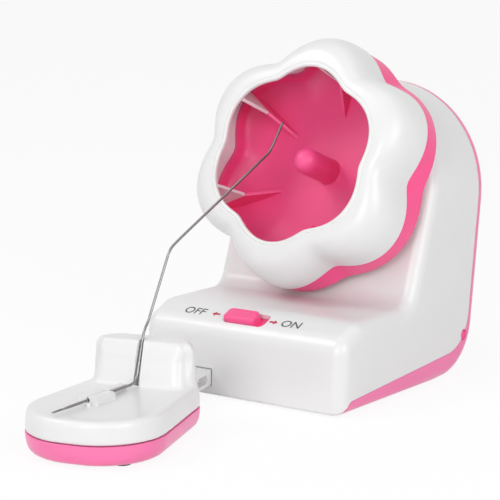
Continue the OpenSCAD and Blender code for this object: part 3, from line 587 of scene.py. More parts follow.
@dataclass(frozen=True)
class Finish:
    """How a material looks: colour, gloss and the fine marks of how it was made."""

    name: str
    slot: str
    colour: Triple
    roughness: float
    metallic: float = 0.0
    tint: float = 0.01
    rough_spread: float = 0.02
    grain: float = 2200.0
    bump: float = 0.02
    coat: float = 0.0
    glow: float = 0.0
    brushed: bool = False
    coat_roughness: float = 0.12
    glow_reach: Triple = (0.003, 0.002, 0.002)
    cloud_scale: float = 38.0
    smear_scale: float = 140.0
    smear_detail: float = 4.0
    grain_detail: float = 2.0
    grain_depth: float = 0.0002
    brush_stretch: Triple = (1.0, 1.0, 0.06)

    def build(self) -> Material:
        """Makes the material.

        Returns:
            The material.
        """
        graph = Graph(self.name)
        shader = graph.add("ShaderNodeBsdfPrincipled", Metallic=self.metallic, Coat_Weight=self.coat)
        shader.inputs["Coat Roughness"].default_value = self.coat_roughness
        shader.inputs["Subsurface Weight"].default_value = self.glow
        shader.inputs["Subsurface Radius"].default_value = self.glow_reach
        clouds = graph.noise(self.cloud_scale)
        ramp = graph.add("ShaderNodeValToRGB")
        dark = tuple(channel * (1.0 - self.tint) for channel in self.colour)
        light = tuple(min(1.0, channel * (1.0 + self.tint)) for channel in self.colour)
        for stop, place, tone in zip(ramp.color_ramp.elements, (NOISE_LOW, NOISE_HIGH), (dark, light)):
            stop.position = place
            stop.color = (*tone, 1.0)
        graph.link(clouds, "Fac", ramp, "Fac")
        graph.link(ramp, "Color", shader, "Base Color")
        smears = graph.noise(self.smear_scale, self.smear_detail)
        smooth, rough = self.roughness - self.rough_spread, self.roughness + self.rough_spread
        gloss = graph.spread(smears, "Fac", smooth, rough)
        graph.link(gloss, "Result", shader, "Roughness")
        peel = self._grain(graph)
        bump = graph.add("ShaderNodeBump", Strength=self.bump, Distance=self.grain_depth)
        graph.link(peel, "Fac", bump, "Height")
        graph.link(bump, "Normal", shader, "Normal")
        graph.link(shader, "BSDF", graph.output, "Surface")
        LOG.info("material %s", self.name)
        return graph.material

    def _grain(self, graph: Graph) -> Node:
        """Adds the fine grain: even for moulded pieces, drawn out for brushed metal.

        Args:
            graph: The material's nodes.

        Returns:
            The noise node.
        """
        peel = graph.noise(self.grain, self.grain_detail)
        if self.brushed:
            stretch = graph.add("ShaderNodeMapping", Scale=self.brush_stretch)
            graph.link(graph.coords, "Object", stretch, "Vector")
            graph.link(stretch, "Vector", peel, "Vector")
        return peel


WHITE = Finish("white_shell_gloss", "white_shell", (0.81, 0.81, 0.81), 0.32, coat=0.12, glow=0.05)
PINK = Finish("pink_shell_gloss", "pink_shell", (0.93, 0.19, 0.43), 0.32, coat=0.12, glow=0.06)
DEEP_PINK = Finish("deep_pink_gloss", "deep_pink", (0.97, 0.09, 0.29), 0.38, coat=0.04, glow=0.06)
RUBBER = Finish("matt_rubber", "rubber", (0.045, 0.045, 0.05), 0.75, tint=0.15, grain=2600.0, bump=0.2)
STEEL = Finish("plated_steel", "steel", (0.62, 0.62, 0.64), 0.28, metallic=1.0, grain=3000.0, brushed=True)
WIRE_STEEL = Finish(
    "drawn_wire",
    "needle_steel",
    (0.27, 0.26, 0.26),
    0.26,
    metallic=1.0,
    grain=900.0,
    bump=0.004,
)
BRASS = Finish("turned_brass", "brass", (0.72, 0.52, 0.22), 0.3, metallic=1.0, grain=3000.0, brushed=True)
DARK = Finish("dark_plastic", "dark_plastic", (0.05, 0.05, 0.055), 0.45, tint=0.1)
NYLON = Finish("natural_nylon", "nylon", (0.82, 0.79, 0.70), 0.45, glow=0.1)
CELL = Finish("cell_sleeve", "cell", (0.10, 0.13, 0.20), 0.3, tint=0.08, coat=0.3)
BOARD = Finish("board_resist", "board", (0.03, 0.20, 0.08), 0.4, tint=0.15, coat=0.2)
INK = Finish("printed_ink", "dark_plastic", (0.10, 0.10, 0.11), 0.5, tint=0.1)
RED_INK = Finish("printed_red_ink", "deep_pink", (0.52, 0.01, 0.06), 0.5, tint=0.1)


@dataclass
class Paint:
    """Keeps one material for each finish and puts pieces on their bodies."""

    made: dict[str, Material] = field(default_factory=dict)

    def material(self, finish: Finish) -> Material:
        """Gives a finish's material.

        Args:
            finish: The finish.

        Returns:
            Its material, made once.
        """
        if finish.name not in self.made:
            self.made[finish.name] = finish.build()
        return self.made[finish.name]

    def dress(self, piece: Object, finish: Finish) -> None:
        """Gives a piece one material.

        Args:
            piece: The piece.
            finish: Its finish.
        """
        piece.data.materials.clear()
        piece.data.materials.append(self.material(finish))

    def put(self, piece: Object, finish: Finish, body: str, *nodes: str) -> Object:
        """Dresses a new piece and lets it ride on a body.

        Args:
            piece: The piece.
            finish: Its finish.
            body: Body that it rides on.
            nodes: Nodes that it stands for.

        Returns:
            The piece.
        """
        self.dress(piece, finish)
        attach(piece, body)
        if nodes:
            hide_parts(*nodes)
        LOG.info("piece %s rides on %s, %d faces", piece.name, body, len(piece.data.polygons))
        return piece


@dataclass
class Housing:
    """The white front shell and the pink cover that closes it from below and behind."""

    width: float = 104.0
    depth: float = 108.0
    height: float = 128.0
    ledge_h: float = 36.5
    front_h: float = 30.5
    front_draft: float = 1.5
    crease_y: float = 15.5
    face_y: float = 54.0
    face_lean: float = 20.0
    back_lean: float = 8.0
    edge_r: float = 6.0
    hollow_r: float = 9.0
    heel_r: float = 26.0
    wall: float = 2.2
    seam_gap: float = 0.15
    seam_foot_h: float = 0.8
    seam_turn_r: float = 3.4
    seam_front_h: float = 5.4
    seam_heel_h: float = 10.5
    seam_back_t: float = 7.0
    # Shares of the edge radius at the front's lower edge, the underside and the soft creases
    front_share: float = 0.25
    under_share: float = 0.6
    crease_share: float = 0.6
    # Turns in degrees below which an edge stays as it is, or counts as a crease
    flat_turn: float = 14.0
    crease_turn: float = 30.0
    knob_slot_half: Point = (10.75, 4.25)
    knob_slot_r: float = 2.6
    knob_slot_deep: float = 6.0
    arm_slot_half: Point = (5.9, 24.0)
    arm_slot_r: float = 0.2
    arm_slot_z: Point = (4.0, 11.4)
    catch_d: float = 5.2
    catch_deep: float = 1.2
    catch_back: float = 7.4
    catch_h: float = 17.0
    screw_d: float = 5.4
    screw_deep: float = 1.8
    low_screws: tuple[Point, ...] = ((40.0, 25.0), (45.9, 66.0))
    back_screw: Point = (33.0, 92.0)
    door_gap: float = 0.2
    door_lip: float = 0.6
    tongue_x: float = 18.0
    tongue_half: float = 4.5
    pad_d: float = 10.0
    pad_deep: float = 1.0
    pad_gap: float = 0.1
    pad_x: float = 38.0
    pad_ys: Point = (14.0, 80.0)
    # How far the tools for the screws, and those for the door and the pads, reach out of a wall
    screw_over: float = 3.0
    tool_over: float = 2.0

    def face_at(self, z: float) -> float:
        """Gives the upright's face at a height.

        Args:
            z: Height above the underside.

        Returns:
            Distance from the front.
        """
        return self.face_y + (z - self.ledge_h) * math.tan(math.radians(self.face_lean))

    def back_at(self, z: float) -> float:
        """Gives the back wall at a height.

        Args:
            z: Height above the underside.

        Returns:
            Distance from the front.
        """
        return self.depth + z * math.tan(math.radians(self.back_lean))

    def build(self, paint: Paint) -> None:
        """Makes both shells.

        Args:
            paint: Gives materials and places.
        """
        form = self._form("front_shell_form", 0.0)
        core = self._form("housing_core", self.wall)
        Bench.combine(form, core, Cut.TAKE)
        cover = Bench.copy(form, "rear_cover_form")
        Bench.combine(form, self._zone(self.seam_gap), Cut.TAKE)
        Bench.combine(cover, self._zone(0.0), Cut.KEEP)
        for tool in (self._knob_slot(), self._arm_slot(), self._catches()):
            Bench.combine(form, tool, Cut.TAKE)
        for tool in (self._catches(), self._screw_seats(), self._door_way(), self._pad_seats()):
            Bench.combine(cover, tool, Cut.TAKE)
        for piece in (form, cover):
            Bench.shade(piece, 32.0)
        paint.put(form, WHITE, "housing", "front_shell")
        paint.put(cover, PINK, "housing", "rear_cover")

    def _outline(self, inset: float) -> list[Point]:
        """Draws the side view, drawn in by an even distance.

        Args:
            inset: How far it is drawn in.

        Returns:
            The outline as (y, z), open at the top for the arch.
        """
        lean, back = math.radians(self.face_lean), math.radians(self.back_lean)
        heel_c = (self.back_at(self.heel_r) - self.heel_r / math.cos(back), self.heel_r)
        hollow_z = self.ledge_h + self.hollow_r
        hollow_c = (self.face_at(hollow_z) - self.hollow_r / math.cos(lean), hollow_z)
        spare = 30.0
        top = self.height + spare
        front = ((0.0, 0.0), (self.front_draft, self.front_h))
        panel = (front[1], (self.crease_y, self.ledge_h))
        ledge = (panel[1], (self.face_y, self.ledge_h))
        floor = ((self.depth, 0.0), (0.0, 0.0))
        return [
            self._meet(floor, front, inset),
            *arc(heel_c, self.heel_r - inset, -90.0, -self.back_lean, 14),
            (self.back_at(top) - inset / math.cos(back), top),
            (self.face_at(top) + inset / math.cos(lean), top),
            *arc(hollow_c, self.hollow_r + inset, -self.face_lean, -90.0, 12),
            self._meet(panel, ledge, inset),
            self._meet(front, panel, inset),
        ]

    @staticmethod
    def _meet(first: Outline, second: Outline, inset: float) -> Point:
        """Finds where two walls meet after both are drawn in to their right.

        Args:
            first: Two points of a wall.
            second: Two points of the wall after it, seen clockwise.
            inset: How far they are drawn in.

        Returns:
            The corner.
        """
        lines = []
        for start, end in (first, second):
            run = Vector(end) - Vector(start)
            run.normalize()
            inward = Vector((run.y, -run.x))
            lines.append((Vector(start) + inset * inward, run))
        (p, d), (q, e) = lines
        cross = d.x * e.y - d.y * e.x
        gap = q - p
        share = (gap.x * e.y - gap.y * e.x) / cross
        corner = p + share * d
        return (corner.x, corner.y)

    def _form(self, name: str, inset: float) -> Object:
        """Makes the housing's whole form, drawn in by an even distance.

        Args:
            name: Name of the piece.
            inset: How far it is drawn in.

        Returns:
            The form, with round edges.
        """
        outline = self._outline(inset)
        piece = Bench.loft(name, [HOUSING.side(outline, x) for x in (-self.width, self.width)])
        Bench.combine(piece, self._arch(inset), Cut.KEEP)
        slack_z, slack_y = 0.05, 0.5
        low = (PAD_OUT + inset + slack_z) * MM
        front = (FRONT_Y + inset + slack_y) * MM

        def share(edge: bmesh.types.BMEdge) -> float:
            """Gives an edge's share of the full radius.

            Args:
                edge: The edge.

            Returns:
                0 for an edge that stays, up to 1.
            """
            turn = math.degrees(edge.calc_face_angle(0.0))
            if turn < self.flat_turn:
                return 0.0
            if all(corner.co.z < low for corner in edge.verts):
                ahead = all(corner.co.y < front for corner in edge.verts)
                return self.front_share if ahead else self.under_share
            return self.crease_share if turn < self.crease_turn else 1.0

        Bench.bevel_edges(piece, self.edge_r - inset, share, 7)
        return piece

    def _arch(self, inset: float) -> Object:
        """Makes the solid whose sides and round top bound the housing.

        Args:
            inset: How far it is drawn in.

        Returns:
            The solid, longer than the housing at both ends.
        """
        half = self.width / 2.0
        radius = half - inset
        below = -40.0
        ahead, behind = 0.9, 0.4
        loops: list[list[Vector]] = [[], []]
        for x, up in [(radius, None), *arc((0.0, 0.0), radius, 0.0, 180.0, 56), (-radius, None)]:
            ends = []
            for lean, at in ((self.face_lean, self.face_at), (self.back_lean, self.back_at)):
                cosine = math.cos(math.radians(lean))
                z = below if up is None else self.height - half * cosine + up * cosine
                ends.append(HOUSING.point(x, at(z), z))
            run = ends[1] - ends[0]
            loops[0].append(ends[0] - ahead * run)
            loops[1].append(ends[1] + behind * run)
        return Bench.loft("arch", loops)

    def _zone(self, gap: float) -> Object:
        """Makes the solid that holds everything of the cover.

        Args:
            gap: How far it is grown.

        Returns:
            The solid.
        """
        seam_y = self.wall + self.seam_gap - gap
        behind = self.seam_back_t / math.cos(math.radians(self.back_lean))
        heel_r = self.heel_r - self.seam_back_t
        heel_z = self.seam_heel_h + heel_r
        heel_c = (self.back_at(heel_z) - behind - heel_r, heel_z)
        turn_c = (seam_y + self.edge_r, self.seam_front_h + gap - self.seam_turn_r)
        top = 2.0 * self.height
        outline = [
            (seam_y, -self.depth),
            (seam_y, self.seam_foot_h),
            *arc(turn_c, self.seam_turn_r, 150.0, 95.0, 6),
            *arc(heel_c, heel_r - gap, -90.0, -self.back_lean, 12),
            (self.back_at(top) - behind - gap, top),
            (self.back_at(top) + self.depth, top),
            (2.0 * self.depth, -self.depth),
        ]
        return Bench.loft("cover_zone", [HOUSING.side(outline, x) for x in (-self.width, self.width)])

    def _knob_slot(self) -> Object:
        """Makes the tool for the switch knob's slot.

        Returns:
            The tool.
        """
        outline = rounded(*self.knob_slot_half, self.knob_slot_r)
        return Bench.slab("knob_slot", PANEL, outline, -self.knob_slot_deep, self.knob_slot_deep)

    def _arm_slot(self) -> Object:
        """Makes the tool for the link arm's slot.

        Returns:
            The tool.
        """
        outline = rounded(*self.arm_slot_half, self.arm_slot_r, 1)
        return Bench.slab("arm_slot", ARM, outline, *self.arm_slot_z)

    def _catches(self) -> Object:
        """Makes the tool for the catch holes on both sides.

        Returns:
            The tool.
        """
        tools = []
        outline = circle(self.catch_d / 2.0)
        for side in (-1.0, 1.0):
            middle = HOUSING.moved(side * self.width / 2.0, self.depth - self.catch_back, self.catch_h)
            loops = [middle.side(outline, x) for x in (-self.catch_deep, self.catch_deep)]
            tools.append(Bench.loft("catch", loops))
        return Bench.join(tools, "catches")

    def _screw_seats(self) -> Object:
        """Makes the tool for the sunk screw heads.

        Returns:
            The tool.
        """
        tools = []
        outline = circle(self.screw_d / 2.0)
        back_x, back_z = self.back_screw
        for side in (-1.0, 1.0):
            for x, y in self.low_screws:
                seat = HOUSING.moved(side * x, y, 0.0)
                tools.append(Bench.slab("seat", seat, outline, -self.screw_over, self.screw_deep))
            middle = HOUSING.moved(side * back_x, self.back_at(back_z), back_z)
            seat = middle.turned(-90.0 - self.back_lean, Axis.X)
            tools.append(Bench.slab("seat", seat, outline, -self.screw_deep, self.screw_over))
        return Bench.join(tools, "screw_seats")

    def _door_way(self) -> Object:
        """Makes the tool for the battery door's opening with its tongue.

        Returns:
            The tool.
        """
        low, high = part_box("battery_door")
        grow = self.door_gap
        left, right = low.x / MM - grow, high.x / MM + grow
        front = (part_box("battery_tray")[0].y / MM + self.door_lip) - grow
        back = high.y / MM + grow
        tongue = low.y / MM - grow
        tongue_left = self.tongue_x - self.tongue_half - grow
        tongue_right = self.tongue_x + self.tongue_half + grow
        outline = [
            (left, front),
            (tongue_left, front),
            (tongue_left, tongue),
            (tongue_right, tongue),
            (tongue_right, front),
            (right, front),
            (right, back),
            (left, back),
        ]
        level = Frame(Matrix.Translation((0.0, 0.0, PAD_OUT)))
        return Bench.slab("door_way", level, outline, -self.tool_over, self.wall + self.tool_over)

    def _pad_seats(self) -> Object:
        """Makes the tool for the rubber pads' seats.

        Returns:
            The tool.
        """
        tools = []
        outline = circle(self.pad_d / 2.0 + self.pad_gap)
        for side in (-1.0, 1.0):
            for y in self.pad_ys:
                seat = HOUSING.moved(side * self.pad_x, y, 0.0)
                tools.append(Bench.slab("pad_seat", seat, outline, -self.tool_over, self.pad_deep))
        return Bench.join(tools, "pad_seats")


@dataclass
class SpinnerBowl:
    """The hollow flower-shaped rim and the pink bowl below it, with fins and a post."""

    petals: int = 6
    petal_turn: float = 24.5
    notch_soft: float = 0.22
    mouth_out: float = 37.4
    mouth_notch_r: float = 35.6
    mouth_petal_r: float = 39.2
    rim_notch_r: float = 47.8
    rim_petal_r: float = 56.0
    rim_depth: float = 22.0
    bowl_depth: float = 33.0
    skirt_depth: float = 32.0
    skirt_notch_r: float = 50.6
    skirt_petal_r: float = 55.0
    floor_r: float = 26.0
    wall: float = 2.0
    dome_full: float = 0.75
    band_h: float = 4.0
    band_in: float = 0.5
    bead_w: float = 2.4
    bead_h: float = 1.8
    line_deep: float = 0.2
    post_r: float = 5.75
    post_h: float = 24.5
    post_fillet: float = 0.5
    hub_r: float = 6.75
    hub_bore_r: float = 2.1
    hub_edge: float = 0.3
    hub_out: float = 1.2
    # Steps up the dish's outside, and how many of them stand free of the skirt
    dish_steps: int = 14
    dish_free: int = 12
    fin_t: float = 1.6
    fin_top: float = 2.2
    fin_top_r: float = 38.0
    fin_foot_r: float = 24.0
    fin_root: float = 0.7
    around: int = 168

    @property
    def rim_z(self) -> float:
        """Height of the joint between rim and bowl."""
        return self.mouth_out - self.rim_depth

    @property
    def floor_z(self) -> float:
        """Height of the bowl's floor."""
        return self.mouth_out - self.bowl_depth

    @property
    def band_z(self) -> float:
        """Height at which the bowl's wall turns from the band into the dish."""
        return self.rim_z - self.band_h

    @property
    def skirt_z(self) -> float:
        """Height of the skirt's lower edge."""
        return self.mouth_out - self.skirt_depth

    def build(self, paint: Paint) -> None:
        """Makes both pieces.

        Args:
            paint: Gives materials and places.
        """
        rim = Bench.loft("bowl_rim_form", self._rim_loops(), closed=True)
        fins = [self._fin(i, self._white_fin()) for i in range(self.petals)]
        rim = Bench.join([rim, *fins], "bowl_rim_form")
        bowl = Bench.loft("bowl_form", self._bowl_loops())
        fins = [self._fin(i, self._pink_fin()) for i in range(self.petals)]
        bowl = Bench.join([bowl, *fins], "bowl_form")
        for piece in (rim, bowl):
            Bench.shade(piece, 38.0)
        paint.put(rim, WHITE, "spinner", "bowl_rim")
        paint.put(bowl, DEEP_PINK, "spinner", "bowl")

    def _share(self, angle: float) -> float:
        """Gives the share of the way from notch to petal at an angle.

        Args:
            angle: Angle round the axis in degrees.

        Returns:
            0 in a notch, 1 in the middle of a petal.
        """
        wave = math.cos(math.radians(self.petals / 2.0 * (angle - self.petal_turn)))
        top = math.sqrt(1.0 + self.notch_soft**2) - self.notch_soft
        return (math.sqrt(wave**2 + self.notch_soft**2) - self.notch_soft) / top

    def _ring(self, z: float, notch_r: float, petal_r: float) -> list[Vector]:
        """Draws a flower round the axis.

        Args:
            z: Height along the axis.
            notch_r: Radius in the notches.
            petal_r: Radius in the petals' middles.

        Returns:
            The loop in metres.
        """
        outline = []
        for i in range(self.around):
            angle = 360.0 * i / self.around
            radius = notch_r + (petal_r - notch_r) * self._share(angle)
            turn = math.radians(angle)
            outline.append((radius * math.cos(turn), radius * math.sin(turn)))
        return BOWL.plan(outline, z)

    def _mouth_ring(self, grow: float, z: float) -> list[Vector]:
        """Draws the mouth's flower, grown by a distance.

        Args:
            grow: How far it is grown.
            z: Height along the axis.

        Returns:
            The loop in metres.
        """
        return self._ring(z, self.mouth_notch_r + grow, self.mouth_petal_r + grow)

    def _dome(self, grow: float, top: float, mouth_grow: float, count: int) -> list[Triple]:
        """Lists the stations of the rim's dome from its foot to the mouth.

        Args:
            grow: How far its foot is grown.
            top: Height at which it ends.
            mouth_grow: How far its upper end is grown from the mouth.
            count: Number of steps.

        Returns:
            Height, notch radius and petal radius of each station, from the foot up.
        """
        stations = []
        notch = self.mouth_notch_r + mouth_grow
        petal = self.mouth_petal_r + mouth_grow
        for i in range(count + 1):
            a = math.pi / 2.0 * i / count
            out = max(math.cos(a), 0.0) ** self.dome_full
            z = self.rim_z + (top - self.rim_z) * math.sin(a) ** self.dome_full
            stations.append(
                (
                    z,
                    notch + (self.rim_notch_r + grow - notch) * out,
                    petal + (self.rim_petal_r + grow - petal) * out,
                )
            )
        return stations

    def _rim_loops(self) -> list[list[Vector]]:
        """Draws the rim's section: dome, fine line, bead and the hollow inside.

        Returns:
            The loops, once round the section.
        """
        top = self.mouth_out
        line = [(2.2, -0.36), (2.0, -0.38), (1.8, -0.2)]
        bead = [(1.4, -0.05), (0.95, 0.0), (0.5, -0.1), (0.15, -0.4), (0.0, -0.9)]
        outer = self._dome(0.0, top - self.line_deep, self.bead_w, 22)
        inner = self._dome(-self.wall, top - self.bead_h, 0.1, 14)
        return [
            *[self._ring(*station) for station in outer],
            *[self._mouth_ring(grow, top + z) for grow, z in (*line, *bead)],
            *[self._ring(*station) for station in reversed(inner)],
        ]

    def _dish(self, shrink: float, count: int) -> list[Triple]:
        """Lists the stations of the bowl's form, drawn in by a distance.

        Args:
            shrink: How far it is drawn in.
            count: Number of steps in the curved part.

        Returns:
            Height, notch radius and petal radius of each station, from the floor up.
        """
        band_r = self.band_in + self.wall / 2.0 + shrink
        notch_r = self.rim_notch_r - band_r
        petal_r = self.rim_petal_r - band_r
        foot_r = self.floor_r + self.wall - shrink
        low = self.floor_z - self.wall + shrink
        stations = []
        for i in range(count + 1):
            a = math.pi / 2.0 * i / count
            notch = foot_r + (notch_r - foot_r) * math.sin(a)
            petal = foot_r + (petal_r - foot_r) * math.sin(a)
            stations.append((low + (self.band_z - low) * (1.0 - math.cos(a)), notch, petal))
        stations.append((self.rim_z - 0.5, notch_r, petal_r))
        stations.append((self.rim_z - 0.05, notch_r - 0.2, petal_r - 0.2))
        return stations

    def _skirt(self, z: float, shrink: float) -> Triple:
        """Gives a station of the skirt behind the rim, drawn in by a distance.

        Args:
            z: Height along the axis.
            shrink: How far it is drawn in.

        Returns:
            Height, notch radius and petal radius.
        """
        share = (z - self.skirt_z) / (self.rim_z - self.skirt_z)
        notch_top = self.rim_notch_r - self.band_in
        petal_top = self.rim_petal_r - self.band_in
        notch = self.skirt_notch_r + (notch_top - self.skirt_notch_r) * share
        petal = self.skirt_petal_r + (petal_top - self.skirt_petal_r) * share
        return z, notch - shrink, petal - shrink

    def _skirt_stations(self) -> list[Triple]:
        """Lists the skirt's stations: down its inside, round its lower edge and up its outside.

        Returns:
            Height, notch radius and petal radius of each station.
        """
        low = self.skirt_z
        top = self.rim_z
        inside = [(self.band_z, self.wall), (low + 0.4, self.wall), (low + 0.05, self.wall - 0.4)]
        edge = [(low + 0.05, 0.5), (low + 0.2, 0.15), (low + 0.6, 0.0)]
        outside = [(top - 0.5, 0.0), (top - 0.05, 0.3)]
        return [self._skirt(z, shrink) for z, shrink in (*inside, *edge, *outside)]

    def _bowl_loops(self) -> list[list[Vector]]:
        """Draws the bowl's section from the hub behind it, round the wall, to the post's tip.

        Returns:
            The loops.
        """
        base = self.floor_z - self.wall
        hub = [
            (self.hub_out, self.hub_bore_r),
            (self.hub_out, self.hub_r - self.hub_edge),
            (self.hub_out + self.hub_edge, self.hub_r),
            (base, self.hub_r),
        ]
        soft = self.post_fillet
        fillet = []
        for a in map(math.radians, (90, 60, 30, 0)):
            radius = self.post_r + soft - soft * math.cos(a)
            fillet.append((self.floor_z + soft - soft * math.sin(a), radius))
        shoulder = self.floor_z + self.post_h - self.post_r
        tip = []
        for a in map(math.radians, (*range(0, 90, 10), 87)):
            tip.append((shoulder + self.post_r * math.sin(a), self.post_r * math.cos(a)))
        return [
            *[self._ring(z, r, r) for z, r in hub],
            *[self._ring(*station) for station in self._dish(0.0, self.dish_steps)[: self.dish_free]],
            *[self._ring(*station) for station in self._skirt_stations()],
            *[self._ring(*station) for station in reversed(self._dish(self.wall, 18))],
            *[self._ring(z, r, r) for z, r in (*fillet, *tip)],
        ]

    def _white_fin(self) -> list[Point]:
        """Draws the part of a fin under the rim's dome.

        Returns:
            The outline as (radius, height).
        """
        profile = self._dome(self.fin_root - self.wall, self.mouth_out - self.fin_top, 0.4, 12)
        outside = [(petal, z) for z, _, petal in reversed(profile)]
        return [*outside, (self.fin_top_r, self.rim_z)]

    def _pink_fin(self) -> list[Point]:
        """Draws the part of a fin in the bowl.

        Returns:
            The outline as (radius, height).
        """
        joint = self.rim_z - 0.15
        profile = self._dish(self.wall - self.fin_root, 12)[:-2]
        edge = profile[-1][2]
        outside = [(petal, z) for z, _, petal in reversed(profile)]
        foot = self.floor_z - self.fin_root
        return [(self.fin_top_r, joint), (edge, joint), *outside, (self.fin_foot_r, foot)]

    def _fin(self, index: int, outline: Outline) -> Object:
        """Makes one thin fin in the middle of a petal.

        Args:
            index: Which petal.
            outline: The fin as (radius, height).

        Returns:
            The fin.
        """
        turned = BOWL.turned(self.petal_turn + 360.0 * index / self.petals, Axis.Z)
        half = self.fin_t / 2.0
        fin = Bench.loft("fin", [[turned.point(r, side, z) for r, z in outline] for side in (-half, half)])
        Bench.soften(fin, 0.35, 50.0, 2)
        return fin


@dataclass
class NeedleFoot:
    """The foot in front of the housing, with its arm and the clips that hold the needle."""

    front_c: Point = (3.0, -14.0)
    front_r: float = 25.0
    back_c: Point = (10.5, 26.0)
    back_r: float = 13.0
    seam_h: float = 8.5
    seam_gap: float = 0.1
    # Round upper edge of the low part: where it starts, how far in it ends, its width and height
    edge_z: float = 15.4
    edge_end: float = 2.2
    edge_in: float = 1.75
    edge_h: float = 2.2
    # Rear block, and its round upper edge in the same words
    block_half: float = 20.9
    block_corner: float = 4.0
    block_edge_z: float = 30.0
    block_edge_end: float = 5.0
    block_edge_in: float = 3.0
    block_edge_h: float = 5.0
    block_face_in: float = 0.6
    groove_z: Point = (0.4, 40.0)
    pads_at: tuple[Point, ...] = ((-11.0, 28.0), (11.0, 28.0), (-15.0, -24.0), (15.0, -24.0))
    pad_r: float = 3.6
    screws_at: tuple[Point, ...] = ((-18.0, -14.0), (18.0, -14.0), (-13.0, 20.0), (13.0, 20.0))
    screw_r: float = 2.7
    seat_deep: float = 1.0
    arm_y: float = -14.5
    arm_half: Point = (5.5, 42.5)
    arm_z: Point = (4.4, 11.0)
    channel_y: float = -22.5
    channel_half: Point = (4.0, 17.5)
    channel_z: Point = (5.8, 9.6)
    arm_gap: float = 0.06
    arm_way_y: float = 39.0
    arm_way_l: float = 14.06
    clip_at: Point = (0.0, -25.0)
    clip_half: float = 6.0
    nub_at: Triple = (1.9, -33.0, 16.8)
    rib_at: Point = (-2.55, -10.0)
    rib_half: Point = (1.5, 6.0)
    rib_z: Point = (-0.6, 2.0)
    voxel: float = 0.7
    smooth_rounds: int = 14

    def build(self, paint: Paint) -> None:
        """Makes the foot's pieces.

        Args:
            paint: Gives materials and places.
        """
        paint.put(self._shell(), WHITE, "foot", "foot_shell")
        paint.put(self._base(), PINK, "foot", "foot_base")
        paint.put(self._arm(), WHITE, "foot", "link_arm")
        paint.put(self._clip(), WHITE, "foot", "needle_clip_front")
        paint.put(self._rib(), WHITE, "foot", "needle_clip_rear")

    def _plan(self, inset: float, count: int = 20) -> list[Point]:
        """Draws the foot's plan, drawn in by an even distance.

        Args:
            inset: How far it is drawn in.
            count: Steps in each of its four corners.

        Returns:
            The outline, anticlockwise.
        """
        run = (self.back_c[0] - self.front_c[0], self.back_c[1] - self.front_c[1])
        reach = math.hypot(*run)
        tangent = math.degrees(math.asin((self.front_r - self.back_r) / reach) - math.atan2(run[0], run[1]))
        (fx, fy), (bx, by) = self.front_c, self.back_c
        front, back = self.front_r - inset, self.back_r - inset
        return [
            *arc((fx, fy), front, -90.0, tangent, count),
            *arc((bx, by), back, tangent, 90.0, count),
            *arc((-bx, by), back, 90.0, 180.0 - tangent, count),
            *arc((-fx, fy), front, 180.0 - tangent, 270.0, count),
        ]

    def _block_plan(self, inset: float, z: float) -> list[Point]:
        """Draws the rear block's plan at a height.

        Args:
            inset: How far it is drawn in.
            z: Height above the housing's underside.

        Returns:
            The outline, anticlockwise.
        """
        front = BLOCK_FRONT + (z - FOOT_LOW_H) * math.tan(math.radians(BLOCK_LEAN)) + inset
        corner = self.block_corner
        half = self.block_half - inset
        (bx, by), back = self.back_c, self.back_r - inset
        lead = min(front + corner, by)
        return [
            *arc((half - corner, lead), corner, -90.0, 0.0, 10),
            *arc((bx, by), back, 0.0, 90.0, 16),
            *arc((-bx, by), back, 90.0, 180.0, 16),
            *arc((corner - half, lead), corner, 180.0, 270.0, 10),
        ]

    def _shell(self) -> Object:
        """Makes the white upper half as one soft moulding with its groove.

        Returns:
            The piece.
        """
        rise = [(0.0, self.seam_h), (0.2, 12.0), (0.45, self.edge_z)]
        for a in (0.4, 0.8, 1.2, 1.57):
            inset = self.edge_end - self.edge_in * math.cos(a)
            rise.append((inset, self.edge_z + self.edge_h * math.sin(a)))
        dish = [(3.6, 17.55), (5.5, 17.3), (8.0, 17.1)]
        low = Bench.loft("foot_shell_form", [FOOT.plan(self._plan(i), z) for i, z in (*rise, *dish)])
        Bench.combine(low, self._block(), Cut.JOIN)
        Bench.apply(low, "REMESH", mode="VOXEL", voxel_size=self.voxel * MM, use_smooth_shade=True)
        Bench.apply(low, "SMOOTH", factor=0.5, iterations=self.smooth_rounds)
        below = rounded(60.0, 60.0, 1.0, 1)
        seam = Bench.slab("seam_cut", FOOT, below, -5.0, self.seam_h + self.seam_gap)
        for tool in (seam, self._groove(), self._arm_way()):
            Bench.combine(low, tool, Cut.TAKE)
        Bench.shade(low, 40.0)
        return low

    def _block(self) -> Object:
        """Makes the rear block with its leaning front face.

        Returns:
            The piece.
        """
        stations = [(0.5, self.seam_h), (1.0, 17.0), (2.0, 28.0)]
        for a in (0.3, 0.6, 0.9, 1.2, 1.57):
            inset = self.block_edge_end - self.block_edge_in * math.cos(a)
            stations.append((inset, self.block_edge_z + self.block_edge_h * math.sin(a)))
        block = Bench.loft("block", [FOOT.plan(self._block_plan(i, z), z) for i, z in stations])
        reach = 40.0
        edge = self.block_face_in
        before = [(-reach, -reach), (reach, -reach), (reach, edge), (-reach, edge)]
        Bench.combine(block, Bench.slab("lean", BLOCK_FACE, before, 0.0, reach), Cut.TAKE)
        return block

    def _groove(self) -> Object:
        """Makes the tool for the needle's groove in the block's face, with soft edges.

        Returns:
            The tool.
        """
        right = [(1.05, 5.0), (1.05, 1.3), (1.5, 0.5), (2.3, -0.2), (2.6, -2.0), (2.6, -12.0)]
        left = [(-x, y) for x, y in reversed(right)]
        return Bench.slab("groove", BLOCK_FACE, [left[-1], *right, *left[:-1]], *self.groove_z)

